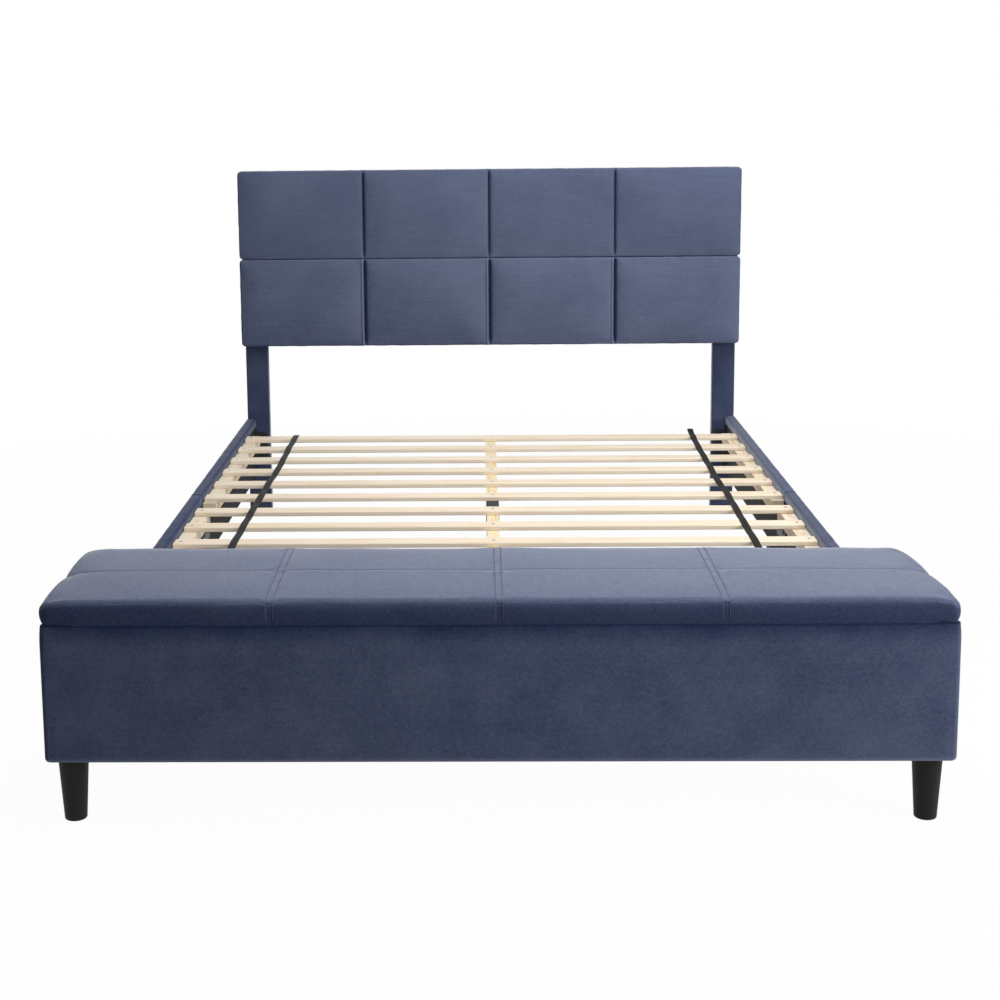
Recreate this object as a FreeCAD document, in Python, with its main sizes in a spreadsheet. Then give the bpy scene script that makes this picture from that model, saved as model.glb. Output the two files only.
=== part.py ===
# Queen platform bed with a padded storage bench at its foot, in millimetres.
# +Z is up, +Y runs from the bench to the headboard, -X is the left side seen from the foot,
# and the origin lies on the floor under the middle of the bed.

import FreeCAD, Part
import operator
import os
import Sketcher

sizes = {
    # Mattress bay and side rails
    "bay_length": 2055,
    "rail_span": 1600,
    "rail_thickness": 33,
    "rail_height": 193,
    "rail_clearance": 122,
    "rail_round": 8,
    "rail_joint_lead": 10,
    "rail_joint_gap": 0.6,
    # Slats, the ledgers and beam under them, and the webbing on top
    "slat_end_gap": 3,
    "slat_width": 50,
    "slat_thickness": 12,
    "slat_round": 3,
    "slat_drop": 12,
    "first_slat_offset": 79,
    "last_slat_offset": 205,
    "ledger_width": 34,
    "ledger_height": 30,
    "ledger_foot_setback": 4,
    "ledger_joint_tail": 1,
    "ledger_head_tail": 64,
    "beam_width": 30,
    "beam_height": 50,
    "beam_joint_gap": 0.6,
    "beam_overhang": 30,
    "beam_play": 0.3,
    "splice_clearance": 3.5,
    "splice_wall": 1.5,
    "splice_height": 36,
    "hanger_wall": 2,
    "hanger_width": 76,
    "hanger_height": 46,
    "hanger_reach": 40,
    "centre_leg_radius": 14,
    "strap_width": 18,
    "strap_thickness": 1.5,
    "strap_offset": 617,
    "strap_tail": 14,
    # Brackets and plates that join the rails
    "bracket_leg": 36,
    "bracket_height": 100,
    "bracket_wall": 3,
    "bracket_top_drop": 45,
    "plate_length": 160,
    "plate_height": 60,
    "plate_drop": 19,
    "mid_leg_width": 40,
    "mid_leg_length": 46,
    "mid_leg_gap": 5,
    # Headboard panels and the posts behind them
    "headboard_clearance": 561,
    "headboard_panel_height": 280,
    "headboard_panel_gap": 1,
    "headboard_depth": 63,
    "headboard_crown": 15,
    "headboard_shoulder": 14,
    "headboard_groove": 16,
    "headboard_draw": 9,
    "headboard_board": 18,
    "headboard_skirt": 16,
    "headboard_tuck": 26,
    "lining_thickness": 1,
    "lining_margin": 6,
    "post_width": 72,
    "post_depth": 34,
    "post_inset": 5,
    "post_drop": 36,
    "post_round": 4,
    # Bench box
    "bench_overhang": 46,
    "bench_depth": 400,
    "bench_clearance": 128,
    "box_height": 264,
    "cover_thickness": 6,
    "cover_round": 20,
    "cover_lip": 1.5,
    "panel_thickness": 18,
    "bottom_thickness": 9,
    "bottom_play": 0.5,
    "support_height": 38,
    "block_width": 62,
    "cleat_width": 20,
    "leg_top_radius": 29,
    "leg_foot_radius": 21,
    "leg_round": 3,
    "leg_edge_across": 20,
    "leg_edge_along": 26,
    "leg_bolt_radius": 4,
    "leg_bolt_depth": 26,
    "leg_bolt_margin": 8,
    # Bench lid and its hinges
    "lid_rise": 43,
    "lid_crown": 7,
    "lid_draw": 9,
    "lid_end_drop": 10,
    "lid_seam_dip": 4,
    "lid_hem": 4,
    "lid_shoulder": 9,
    "lid_play": 0.6,
    "lid_skirt": 14,
    "lid_board": 12,
    "lid_lining": 1,
    "hinge_width": 80,
    "hinge_middle": 32,
    "hinge_spread": 560,
    "knuckle_radius": 4,
    "knuckle_gap": 0.4,
    "hinge_standoff": 1,
    "pin_radius": 2,
    "pin_play": 0.06,
    "leaf_thickness": 1.5,
    "leaf_gap": 0.3,
    "box_leaf_reach": 22,
    "lid_leaf_reach": 36,
    "box_screw_setback": 13,
    "lid_screw_setback": 26,
    # Quilting of the soft panels
    "quilt_near": 26,
    # Fasteners
    "bolt_radius": 4,
    "bolt_head_radius": 7,
    "bolt_head_height": 5,
    "bolt_margin": 4,
    "screw_radius": 2,
    "screw_head_radius": 4,
    "screw_head_height": 2.5,
    "screw_margin": 8,
    "hinge_screw_radius": 1.6,
    "hinge_screw_head_radius": 3.4,
    "hinge_screw_head_height": 1.1,
    "hinge_screw_margin": 3,
    "hole_play": 0.3,
    "hole_tip": 1,
    "overrun": 2,
}

slat_count = 12
slats_before_joint = slat_count // 2
tile_count = 4
centre_leg_shares = (0.34, 0.62, 0.95)
bolt_shares = (0.25, 0.75)
plate_bolt_shares = (-0.36, -0.16, 0.16, 0.36)
hinge_screw_shares = (-0.36, 0, 0.36)
# How full the quilting is, and how far it is drawn in, at each kind of section along a soft panel.
crown_shares = {"end": 0.1, "seam": 0.15, "flank": 0.6, "near": 0.82, "full": 1}
draw_shares = {"end": 1, "seam": 0.45, "flank": 0.16, "near": 0.02, "full": 0}
flank_share = 0.3
bulge_share = 0.45
tuck_share = 0.3

doc = FreeCAD.newDocument("platform_bed")
sheet = doc.addObject("Spreadsheet::Sheet", "sizes")
for row, (name, number) in enumerate(sizes.items(), start=1):
    sheet.set(f"A{row}", name)
    sheet.set(f"B{row}", str(number))
    sheet.setAlias(f"B{row}", name)
doc.recompute()

operations = {"+": operator.add, "-": operator.sub, "*": operator.mul, "/": operator.truediv}


# A length together with the sheet expression that gives it, so that sums of sizes stay parametric.
class Size:
    def __init__(self, text, value):
        self.text = text
        self.value = value

    def combine(self, sign, other, swapped=False):
        pair = (self, as_size(other))
        left, right = pair[::-1] if swapped else pair
        return Size(f"({left.text} {sign} {right.text})", operations[sign](left.value, right.value))

    def __add__(self, other):
        return self.combine("+", other)

    def __sub__(self, other):
        return self.combine("-", other)

    def __mul__(self, other):
        return self.combine("*", other)

    def __rmul__(self, other):
        return self.combine("*", other, swapped=True)

    def __truediv__(self, other):
        return self.combine("/", other)

    def __neg__(self):
        return self.combine("*", -1)


def as_size(amount):
    return amount if isinstance(amount, Size) else Size(str(amount), amount)


# The named sizes as an object whose attributes are Size values read from the sheet.
class Sheet:
    def __getattr__(self, name):
        return Size(f"sizes.{name}", float(getattr(sheet, name)))


size = Sheet()

# Places along the bed, from the foot to the head
overall_length = (size.bench_depth + size.bay_length + size.headboard_depth + size.lining_thickness
                  + size.post_depth)
foot_y = -overall_length / 2
bench_back = foot_y + size.bench_depth
board_back = bench_back + size.bay_length + size.headboard_depth
post_front = board_back + size.lining_thickness
head_y = post_front + size.post_depth
slat_pitch = (size.bay_length - size.first_slat_offset - size.last_slat_offset) / (slat_count - 1)
slat_places = [bench_back + size.first_slat_offset + slat_pitch * number for number in range(slat_count)]
slat_half = size.slat_width / 2
rail_joint = slat_places[slats_before_joint] - slat_half - size.rail_joint_lead

# Places across the bed and heights
rail_outer = size.rail_span / 2
rail_inner = rail_outer - size.rail_thickness
rail_top = size.rail_clearance + size.rail_height
slat_top = rail_top - size.slat_drop
slat_bottom = slat_top - size.slat_thickness
ledger_bottom = slat_bottom - size.ledger_height
beam_bottom = slat_bottom - size.beam_height
bench_half = rail_outer + size.bench_overhang
panel_outer = bench_half - size.cover_thickness
panel_inner = panel_outer - size.panel_thickness
box_top = size.bench_clearance + size.box_height
panel_top = box_top - size.cover_lip
support_top = size.bench_clearance + size.support_height
lid_bottom = box_top + size.leaf_thickness * 2 + size.leaf_gap
hinge_y = bench_back + size.knuckle_radius + size.hinge_standoff
hinge_z = box_top + size.leaf_thickness + size.leaf_gap / 2

sides = {"left": -1, "right": 1}
turns = {
    "x": FreeCAD.Rotation(FreeCAD.Vector(0, 1, 0), 90),
    "-x": FreeCAD.Rotation(FreeCAD.Vector(0, 1, 0), -90),
    "y": FreeCAD.Rotation(FreeCAD.Vector(1, 0, 0), -90),
    "-y": FreeCAD.Rotation(FreeCAD.Vector(1, 0, 0), 90),
    "z": FreeCAD.Rotation(),
    "-z": FreeCAD.Rotation(FreeCAD.Vector(1, 0, 0), 180),
}
opposite = {"x": "-x", "-x": "x", "y": "-y", "-y": "y", "z": "-z", "-z": "z"}
pieces = {}
holes = {}


def bind(thing, name, amount):
    thing.setExpression(name, as_size(amount).text)


def place(thing, x, y, z):
    for axis, amount in zip("xyz", (x, y, z)):
        bind(thing, f"Placement.Base.{axis}", amount)


# A box whose low corner is at x, y, z.
def block(label, length, width, height, x, y, z):
    box = doc.addObject("Part::Box", label)
    box.Label = label
    bind(box, "Length", length)
    bind(box, "Width", width)
    bind(box, "Height", height)
    place(box, x, y, z)
    return box


# A cylinder whose first end is centred at x, y, z.
def rod(label, radius, length, x, y, z, along):
    cylinder = doc.addObject("Part::Cylinder", label)
    cylinder.Placement = FreeCAD.Placement(FreeCAD.Vector(), turns[along])
    bind(cylinder, "Radius", radius)
    bind(cylinder, "Height", length)
    place(cylinder, x, y, z)
    return cylinder


def group(label, members):
    compound = doc.addObject("Part::Compound", label)
    compound.Label = label
    compound.Links = members
    return compound


def fuse(label, members):
    union = doc.addObject("Part::MultiFuse", label)
    union.Label = label
    union.Shapes = members
    return union


def cut(label, base, tools):
    rest = doc.addObject("Part::Cut", label)
    rest.Label = label
    rest.Base = base
    rest.Tool = tools[0] if len(tools) == 1 else group(f"{label}_tools", tools)
    return rest


# A sketched outline in one of a new body's origin planes, with every corner tied to its sizes.
def outline(body, plane, corners):
    sketch = body.newObject("Sketcher::SketchObject", f"{body.Name}_outline")
    planes = {feature.Role: feature for feature in body.Origin.OriginFeatures}
    sketch.AttachmentSupport = [(planes[plane], "")]
    sketch.MapMode = "FlatFace"
    points = [FreeCAD.Vector(as_size(u).value, as_size(v).value, 0) for u, v in corners]
    for number, point in enumerate(points):
        sketch.addGeometry(Part.LineSegment(point, points[(number + 1) % len(points)]))
    for number, corner in enumerate(corners):
        sketch.addConstraint(Sketcher.Constraint("Coincident", (number - 1) % len(points), 2, number, 1))
        for way, axis, amount in zip(("DistanceX", "DistanceY"), (-2, -1), corner):
            if as_size(amount).value == 0:
                sketch.addConstraint(Sketcher.Constraint("PointOnObject", number, 1, axis))
            else:
                tie = sketch.addConstraint(Sketcher.Constraint(way, -1, 1, number, 1, as_size(amount).value))
                sketch.renameConstraint(tie, f"{way}_{number}")
                bind(sketch, f"Constraints.{way}_{number}", amount)
    return sketch


# A body padded from a sketched outline, towards the positive side of its plane.
def padded(label, plane, corners, depth):
    body = doc.addObject("PartDesign::Body", label)
    body.Label = label
    pad = body.newObject("PartDesign::Pad", f"{label}_pad")
    pad.Profile = outline(body, plane, corners)
    pad.Reversed = plane == "XZ_Plane"
    bind(pad, "Length", depth)
    doc.recompute()
    return body


# Rounds those edges of a body's last feature that the test picks out.
def rounded(body, radius, wanted):
    base = body.Tip
    names = [f"Edge{number}" for number, edge in enumerate(base.Shape.Edges, start=1) if wanted(edge)]
    fillet = body.newObject("PartDesign::Fillet", f"{body.Name}_round")
    fillet.Base = (base, names)
    bind(fillet, "Radius", radius)
    return body


def rectangle(width, height):
    return [(0, 0), (width, 0), (width, height), (0, height)]


# True for edges that run straight along one axis.
def runs_along(axis):
    others = [other for other in "XYZ" if other != axis]
    return lambda edge: all(getattr(edge.BoundBox, f"{other}Length") < edge.Length / 100 for other in others)


# The low X of a piece whose inner face lies a given distance from the middle.
def low_x(side, inner, width):
    return inner if side == "right" else -(inner + width)


# A bolt or screw with its seat under the head at x, y, z, and the hole that it needs in some pieces.
def fasten(label, kind, x, y, z, along, length, through, sunk=False):
    radius = getattr(size, f"{kind}_radius")
    head_radius = getattr(size, f"{kind}_head_radius")
    head_height = getattr(size, f"{kind}_head_height")
    shank = rod(f"{label}_shank", radius, length, x, y, z, along)
    head = rod(f"{label}_head", head_radius, head_height, x, y, z, opposite[along])
    tools = [rod(f"{label}_hole", radius + size.hole_play, length + size.hole_tip, x, y, z, along)]
    if sunk:
        tools.append(rod(f"{label}_sink", head_radius + size.hole_play, head_height + size.overrun, x, y, z,
                         opposite[along]))
        tools = [fuse(f"{label}_hole_and_sink", tools)]
    for piece in through:
        holes.setdefault(piece, []).extend(tools)
    return fuse(label, [head, shank])


# Side rails: two padded boards on each side, rounded along the top
for side in sides:
    for end, start, stop in (("foot", bench_back, rail_joint),
                             ("head", rail_joint + size.rail_joint_gap, post_front)):
        label = f"side_rail_{side}_{end}"
        rail = padded(label, "XZ_Plane", rectangle(size.rail_thickness, size.rail_height), stop - start)
        runs_lengthways = runs_along("Y")
        top = size.rail_height.value
        rounded(rail, size.rail_round,
                lambda edge: runs_lengthways(edge) and edge.BoundBox.ZMin > top / 2)
        place(rail, low_x(side, rail_inner, size.rail_thickness), start, size.rail_clearance)
        pieces[label] = rail

# Ledgers that carry the slat ends, one on each rail half, with a break around the rail joint
ledger_spans = {
    "foot": (bench_back + size.bracket_leg + size.ledger_foot_setback,
             slat_places[slats_before_joint - 1] + slat_half + size.ledger_joint_tail),
    "head": (rail_joint + size.rail_joint_gap, slat_places[-1] + slat_half + size.ledger_head_tail),
}
for side in sides:
    for end, (start, stop) in ledger_spans.items():
        label = f"slat_ledger_{side}_{end}"
        pieces[label] = block(label, size.ledger_width, stop - start, size.ledger_height,
                              low_x(side, rail_inner - size.ledger_width, size.ledger_width), start,
                              ledger_bottom)

# Centre beam in two halves under the slats, its joint between two slats
beam_foot = bench_back + size.hanger_wall + size.beam_play
beam_joint = (slat_places[slats_before_joint - 1] + slat_places[slats_before_joint]) / 2
beam_head = slat_places[-1] + size.beam_overhang
for end, start, stop in (("foot", beam_foot, beam_joint),
                         ("head", beam_joint + size.beam_joint_gap, beam_head)):
    label = f"centre_beam_{end}"
    pieces[label] = block(label, size.beam_width, stop - start, size.beam_height,
                          -size.beam_width / 2, start, beam_bottom)

# Steel channel over the beam joint, just shorter than the gap between the two slats
splice_length = slat_pitch - size.slat_width - size.splice_clearance * 2
splice_inner = size.beam_width + size.beam_play * 2
splice_outer = splice_inner + size.splice_wall * 2
splice_top = size.splice_height + size.splice_wall
splice = padded("centre_beam_splice", "XZ_Plane", [
    (0, 0),
    (size.splice_wall, 0),
    (size.splice_wall, size.splice_height),
    (size.splice_wall + splice_inner, size.splice_height),
    (size.splice_wall + splice_inner, 0),
    (splice_outer, 0),
    (splice_outer, splice_top),
    (0, splice_top),
], splice_length)
place(splice, -splice_outer / 2, beam_joint - splice_length / 2, slat_bottom - size.splice_height)
pieces["centre_beam_splice"] = splice

# Round legs under the beam
beam_length = beam_head - beam_foot
centre_legs = [rod(f"centre_leg_{number}", size.centre_leg_radius, beam_bottom, 0,
                   beam_foot + beam_length * share, 0, "z")
               for number, share in enumerate(centre_leg_shares, start=1)]
pieces["centre_legs"] = group("centre_legs", centre_legs)

# Steel cradle on the back of the bench that holds the foot end of the beam
cradle_inner = size.beam_width + size.beam_play * 2
cradle_outer = cradle_inner + size.hanger_wall * 2
cradle_front = bench_back + size.hanger_wall
hanger_parts = [
    block("hanger_plate", size.hanger_width, size.hanger_wall, size.hanger_height + size.hanger_wall,
          -size.hanger_width / 2, bench_back, beam_bottom - size.hanger_wall),
    block("hanger_shelf", cradle_outer, size.hanger_reach, size.hanger_wall,
          -cradle_outer / 2, cradle_front, beam_bottom - size.hanger_wall),
    block("hanger_cheek_left", size.hanger_wall, size.hanger_reach, size.hanger_height, -cradle_outer / 2,
          cradle_front, beam_bottom),
    block("hanger_cheek_right", size.hanger_wall, size.hanger_reach, size.hanger_height, cradle_inner / 2,
          cradle_front, beam_bottom),
]
pieces["beam_hanger"] = fuse("beam_hanger", hanger_parts)

# Slats with rounded long edges, from the bench to the headboard, and their sunk screws
slat_screws = []
slat_seat = slat_top - size.screw_head_height
screw_length = size.slat_thickness - size.screw_head_height + size.ledger_height - size.screw_margin
screw_x = rail_inner - (size.slat_end_gap + size.ledger_width) / 2
slat_length = (rail_inner - size.slat_end_gap) * 2
for number, centre in enumerate(slat_places, start=1):
    label = f"slat_{number:02d}"
    slat = padded(label, "YZ_Plane", rectangle(size.slat_width, size.slat_thickness), slat_length)
    rounded(slat, size.slat_round, runs_along("X"))
    place(slat, -slat_length / 2, centre - slat_half, slat_bottom)
    pieces[label] = slat
    end = "foot" if number <= slats_before_joint else "head"
    for spot, x, under in (("left", -screw_x, f"slat_ledger_left_{end}"),
                           ("middle", 0, f"centre_beam_{end}"),
                           ("right", screw_x, f"slat_ledger_right_{end}")):
        slat_screws.append(fasten(f"{label}_screw_{spot}", "screw", x, centre, slat_seat, "-z", screw_length,
                                  (label, under), sunk=True))
pieces["slat_screws"] = group("slat_screws", slat_screws)

# Webbing straps that keep the slats apart
strap_start = slat_places[0] - slat_half
strap_length = slat_places[-1] - slat_places[0] + size.slat_width + size.strap_tail
for side in sides:
    label = f"slat_strap_{side}"
    strap_x = low_x(side, size.strap_offset - size.strap_width / 2, size.strap_width)
    pieces[label] = block(label, size.strap_width, strap_length, size.strap_thickness, strap_x, strap_start,
                          slat_top)

# Corner brackets that bolt each rail to the bench or to a post, with the bolts that hold them
bracket_outline = [
    (0, 0),
    (size.bracket_leg, 0),
    (size.bracket_leg, size.bracket_wall),
    (size.bracket_wall, size.bracket_wall),
    (size.bracket_wall, size.bracket_leg),
    (0, size.bracket_leg),
]
bracket_bottom = rail_top - size.bracket_top_drop - size.bracket_height
rail_bite = size.rail_thickness - size.bolt_margin
quarter_turns = {("left", "foot"): 0, ("right", "foot"): 1, ("right", "head"): 2, ("left", "head"): 3}
brackets = []
rail_bolts = []
for (side, end), quarters in quarter_turns.items():
    label = f"rail_bracket_{side}_{end}"
    bracket = padded(label, "XY_Plane", bracket_outline, size.bracket_height)
    bracket.Placement.Rotation = FreeCAD.Rotation(FreeCAD.Vector(0, 0, 1), 90 * quarters)
    outward = sides[side]
    inward_y = 1 if end == "foot" else -1
    wall_y = bench_back if end == "foot" else post_front
    place(bracket, rail_inner * outward, wall_y, bracket_bottom)
    brackets.append(label)
    pieces[label] = bracket
    flange_seat_y = wall_y + size.bracket_wall * inward_y
    if end == "foot":
        behind = ("bench_cover", "bench_back_panel")
        depth = size.cover_thickness + size.panel_thickness
    else:
        behind = (f"headboard_post_{side}",)
        depth = size.post_depth
    reach = (size.bracket_leg + size.bracket_wall) / 2
    for number, share in enumerate(bolt_shares, start=1):
        z = bracket_bottom + size.bracket_height * share
        rail_bolts.append(fasten(f"{label}_wall_bolt_{number}", "bolt", (rail_inner - reach) * outward,
                                 flange_seat_y, z, "-y" if end == "foot" else "y",
                                 size.bracket_wall + depth - size.bolt_margin, (label,) + behind))
        rail_bolts.append(fasten(f"{label}_rail_bolt_{number}", "bolt",
                                 (rail_inner - size.bracket_wall) * outward, wall_y + reach * inward_y, z,
                                 "x" if side == "right" else "-x", size.bracket_wall + rail_bite,
                                 (label, f"side_rail_{side}_{end}")))

# Flat plates over the rail joints, and the short legs under the joints
plate_top = ledger_bottom - size.plate_drop
plate_bottom = plate_top - size.plate_height
mid_leg_height = plate_bottom - size.mid_leg_gap
plates = []
mid_legs = []
for side, outward in sides.items():
    plate_label = f"rail_plate_{side}"
    pieces[plate_label] = block(plate_label, size.bracket_wall, size.plate_length, size.plate_height,
                                low_x(side, rail_inner - size.bracket_wall, size.bracket_wall),
                                rail_joint - size.plate_length / 2, plate_bottom)
    plates.append(plate_label)
    leg_label = f"rail_leg_{side}"
    pieces[leg_label] = block(leg_label, size.mid_leg_width, size.mid_leg_length, mid_leg_height,
                              low_x(side, rail_inner - size.mid_leg_width, size.mid_leg_width),
                              rail_joint - size.mid_leg_length / 2, 0)
    mid_legs.append(leg_label)
    along = "x" if side == "right" else "-x"
    for number, share in enumerate(plate_bolt_shares, start=1):
        end = "foot" if share < 0 else "head"
        rail_bolts.append(fasten(f"{plate_label}_bolt_{number}", "bolt",
                                 (rail_inner - size.bracket_wall) * outward,
                                 rail_joint + size.plate_length * share,
                                 plate_bottom + size.plate_height / 2,
                                 along, size.bracket_wall + rail_bite,
                                 (plate_label, f"side_rail_{side}_{end}")))
    for end, share in (("foot", -bolt_shares[0]), ("head", bolt_shares[0])):
        leg_bolt_z = (size.rail_clearance + mid_leg_height) / 2
        rail_bolts.append(fasten(f"{leg_label}_bolt_{end}", "bolt",
                                 (rail_inner - size.mid_leg_width) * outward,
                                 rail_joint + size.mid_leg_length * share, leg_bolt_z, along,
                                 size.mid_leg_width + rail_bite, (leg_label, f"side_rail_{side}_{end}")))

# Bolts that hold the beam cradle
for side, outward in sides.items():
    x = (size.hanger_width + cradle_outer) / 4 * outward
    rail_bolts.append(fasten(f"hanger_bolt_{side}", "bolt", x, cradle_front,
                             beam_bottom + size.hanger_height / 2, "-y",
                             size.hanger_wall + size.cover_thickness + size.panel_thickness
                             - size.bolt_margin,
                             ("beam_hanger", "bench_cover", "bench_back_panel")))
pieces["rail_bolts"] = group("rail_bolts", rail_bolts)


# Soft panels: rows of tiles between sewn seams, each tile lofted through sections across it
def arc(first, middle, last):
    return Part.Arc(first, middle, last).toShape()


# Straight flanks climb from each seam, and a smooth crown spans the rest of the tile.
def quilted(half_length, section):
    tile = half_length * 2 / tile_count
    near = size.quilt_near.value
    flank = near * flank_share
    spans = []
    for number in range(tile_count):
        start = number * tile - half_length
        stop = start + tile
        first = section(start, "end" if number == 0 else "seam")
        last = section(stop, "end" if number == tile_count - 1 else "seam")
        climb = [first, section(start + flank, "flank"), section(start + near, "near")]
        fall = [section(stop - near, "near"), section(stop - flank, "flank"), last]
        spans.append(Part.makeLoft(climb, True, True))
        spans.append(Part.makeLoft([climb[-1], section(start + tile / 2, "full"), fall[0]], True))
        spans.append(Part.makeLoft(fall, True, True))
    return spans[0].fuse(spans[1:])


def soft_piece(label, shape):
    feature = doc.addObject("Part::Feature", label)
    feature.Label = label
    feature.Shape = shape
    return feature


# One upright section through a headboard panel: flat back, tucked edges and a crowned front.
def headboard_section(bottom, top):
    back = board_back.value
    shoulder = size.headboard_shoulder.value
    edge_depth = (size.headboard_depth - size.headboard_crown).value

    def section(x, kind):
        def point(y, z):
            return FreeCAD.Vector(x, y, z)

        draw = size.headboard_draw.value * draw_shares[kind]
        crown = size.headboard_crown.value * crown_shares[kind]
        edge = back - edge_depth + size.headboard_groove.value * draw_shares[kind]
        tuck = back - size.headboard_tuck.value
        low = bottom.value + draw
        high = top.value - draw
        slack = shoulder * tuck_share
        crest = point(edge - crown, (low + high) / 2)
        soft = (edge + tuck) / 2 - slack
        return Part.Wire([
            Part.LineSegment(point(back, low), point(tuck, low)).toShape(),
            arc(point(tuck, low), point(soft, low + slack), point(edge, low + shoulder)),
            arc(point(edge, low + shoulder), crest, point(edge, high - shoulder)),
            arc(point(edge, high - shoulder), point(soft, high - slack), point(tuck, high)),
            Part.LineSegment(point(tuck, high), point(back, high)).toShape(),
            Part.LineSegment(point(back, high), point(back, low)).toShape(),
        ])

    return section


# One upright section through the lid: flat underside, bulged sides and two crowned rows with a seam between.
def lid_section(x, kind):
    draw = size.lid_draw.value * draw_shares[kind]
    bottom = lid_bottom.value
    top = bottom + size.lid_rise.value - size.lid_end_drop.value * draw_shares[kind]
    crest = top + size.lid_crown.value * crown_shares[kind]
    front = foot_y.value + size.lid_play.value + draw
    back = bench_back.value - size.lid_play.value - draw
    seam = (front + back) / 2
    dip = crest - size.lid_seam_dip.value
    hem = size.lid_hem.value
    shoulder = size.lid_shoulder.value
    bulge = bottom + size.lid_rise.value * bulge_share

    def point(y, z):
        return FreeCAD.Vector(x, y, z)

    return Part.Wire([
        arc(point(front + hem, bottom), point(front, bulge), point(front + shoulder, top)),
        arc(point(front + shoulder, top), point((front + seam) / 2, crest), point(seam, dip)),
        arc(point(seam, dip), point((back + seam) / 2, crest), point(back - shoulder, top)),
        arc(point(back - shoulder, top), point(back, bulge), point(back - hem, bottom)),
        Part.LineSegment(point(back - hem, bottom), point(front + hem, bottom)).toShape(),
    ])


# Headboard: two padded panels, one above the other, with a board inside each and a lining behind
panel_floors = {
    "lower": size.headboard_clearance,
    "upper": size.headboard_clearance + size.headboard_panel_height + size.headboard_panel_gap,
}
headboard_half = rail_outer
board_half = headboard_half - size.headboard_skirt
linings = []
for row, bottom in panel_floors.items():
    top = bottom + size.headboard_panel_height
    board = block(f"headboard_{row}_board", board_half * 2, size.headboard_board,
                  size.headboard_panel_height - size.headboard_skirt * 2, -board_half,
                  board_back - size.headboard_board, bottom + size.headboard_skirt)
    pieces[f"headboard_{row}_board"] = board
    lining_half = headboard_half - size.headboard_draw - size.lining_margin
    lining_low = bottom + size.headboard_draw + size.lining_margin
    lining_label = f"headboard_{row}_lining"
    pieces[lining_label] = block(lining_label, lining_half * 2, size.lining_thickness,
                                 top - lining_low - size.headboard_draw - size.lining_margin, -lining_half,
                                 board_back, lining_low)
    linings.append(lining_label)
    doc.recompute()
    quilt = quilted(headboard_half.value, headboard_section(bottom, top))
    pieces[f"headboard_{row}_pad"] = soft_piece(f"headboard_{row}_pad", quilt.cut(board.Shape))

# Posts that carry the headboard, and the bolts sunk in their backs
post_outer = rail_outer - size.post_inset
headboard_top = panel_floors["upper"] + size.headboard_panel_height
headboard_bolts = []
for side, outward in sides.items():
    label = f"headboard_post_{side}"
    post = padded(label, "XY_Plane", rectangle(size.post_width, size.post_depth),
                  headboard_top - size.post_drop)
    rounded(post, size.post_round, runs_along("Z"))
    place(post, low_x(side, post_outer - size.post_width, size.post_width), post_front, 0)
    pieces[label] = post
    for row, bottom in panel_floors.items():
        for number, share in enumerate(bolt_shares, start=1):
            headboard_bolts.append(fasten(
                f"headboard_bolt_{side}_{row}_{number}", "bolt",
                (post_outer - size.post_width / 2) * outward, head_y - size.bolt_head_height,
                bottom + size.headboard_panel_height * share, "-y",
                size.post_depth - size.bolt_head_height + size.lining_thickness + size.headboard_board
                - size.bolt_margin,
                (label, f"headboard_{row}_lining", f"headboard_{row}_board"), sunk=True))
pieces["headboard_bolts"] = group("headboard_bolts", headboard_bolts)

# Bench box: four panels, a bottom on corner blocks and cleats, and the padded cover around them
panel_height = panel_top - size.bench_clearance
front_inner = foot_y + size.cover_thickness + size.panel_thickness
back_inner = bench_back - size.cover_thickness - size.panel_thickness
for label, y in (("bench_front_panel", foot_y + size.cover_thickness), ("bench_back_panel", back_inner)):
    pieces[label] = block(label, panel_outer * 2, size.panel_thickness, panel_height, -panel_outer, y,
                          size.bench_clearance)
for side in sides:
    label = f"bench_{side}_panel"
    pieces[label] = block(label, size.panel_thickness, back_inner - front_inner, panel_height,
                          low_x(side, panel_inner, size.panel_thickness), front_inner, size.bench_clearance)
bottom_half = panel_inner - size.bottom_play
pieces["bench_bottom_panel"] = block("bench_bottom_panel", bottom_half * 2,
                                     back_inner - front_inner - size.bottom_play * 2, size.bottom_thickness,
                                     -bottom_half, front_inner + size.bottom_play, support_top)

supports = []
cleat_half = panel_inner - size.block_width
for end, block_y, cleat_y in (("front", front_inner, front_inner),
                              ("back", back_inner - size.block_width, back_inner - size.cleat_width)):
    for side in sides:
        label = f"bench_block_{end}_{side}"
        pieces[label] = block(label, size.block_width, size.block_width, size.support_height,
                              low_x(side, cleat_half, size.block_width), block_y, size.bench_clearance)
        supports.append(label)
    label = f"bench_cleat_{end}"
    pieces[label] = block(label, cleat_half * 2, size.cleat_width, size.support_height, -cleat_half, cleat_y,
                          size.bench_clearance)
    supports.append(label)

cover_shell = padded("bench_cover_shell", "XY_Plane", rectangle(bench_half * 2, size.bench_depth),
                     size.box_height)
rounded(cover_shell, size.cover_round, runs_along("Z"))
place(cover_shell, -bench_half, foot_y, size.bench_clearance)
cover_core = block("bench_cover_core", panel_outer * 2, size.bench_depth - size.cover_thickness * 2,
                   panel_height + size.overrun, -panel_outer, foot_y + size.cover_thickness,
                   size.bench_clearance - size.overrun)
cover_mouth = block("bench_cover_mouth", panel_inner * 2, back_inner - front_inner,
                    size.box_height + size.overrun * 2, -panel_inner, front_inner,
                    size.bench_clearance - size.overrun)
pieces["bench_cover"] = cut("bench_cover_blank", cover_shell,
                            [fuse("bench_cover_inside", [cover_core, cover_mouth])])

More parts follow.
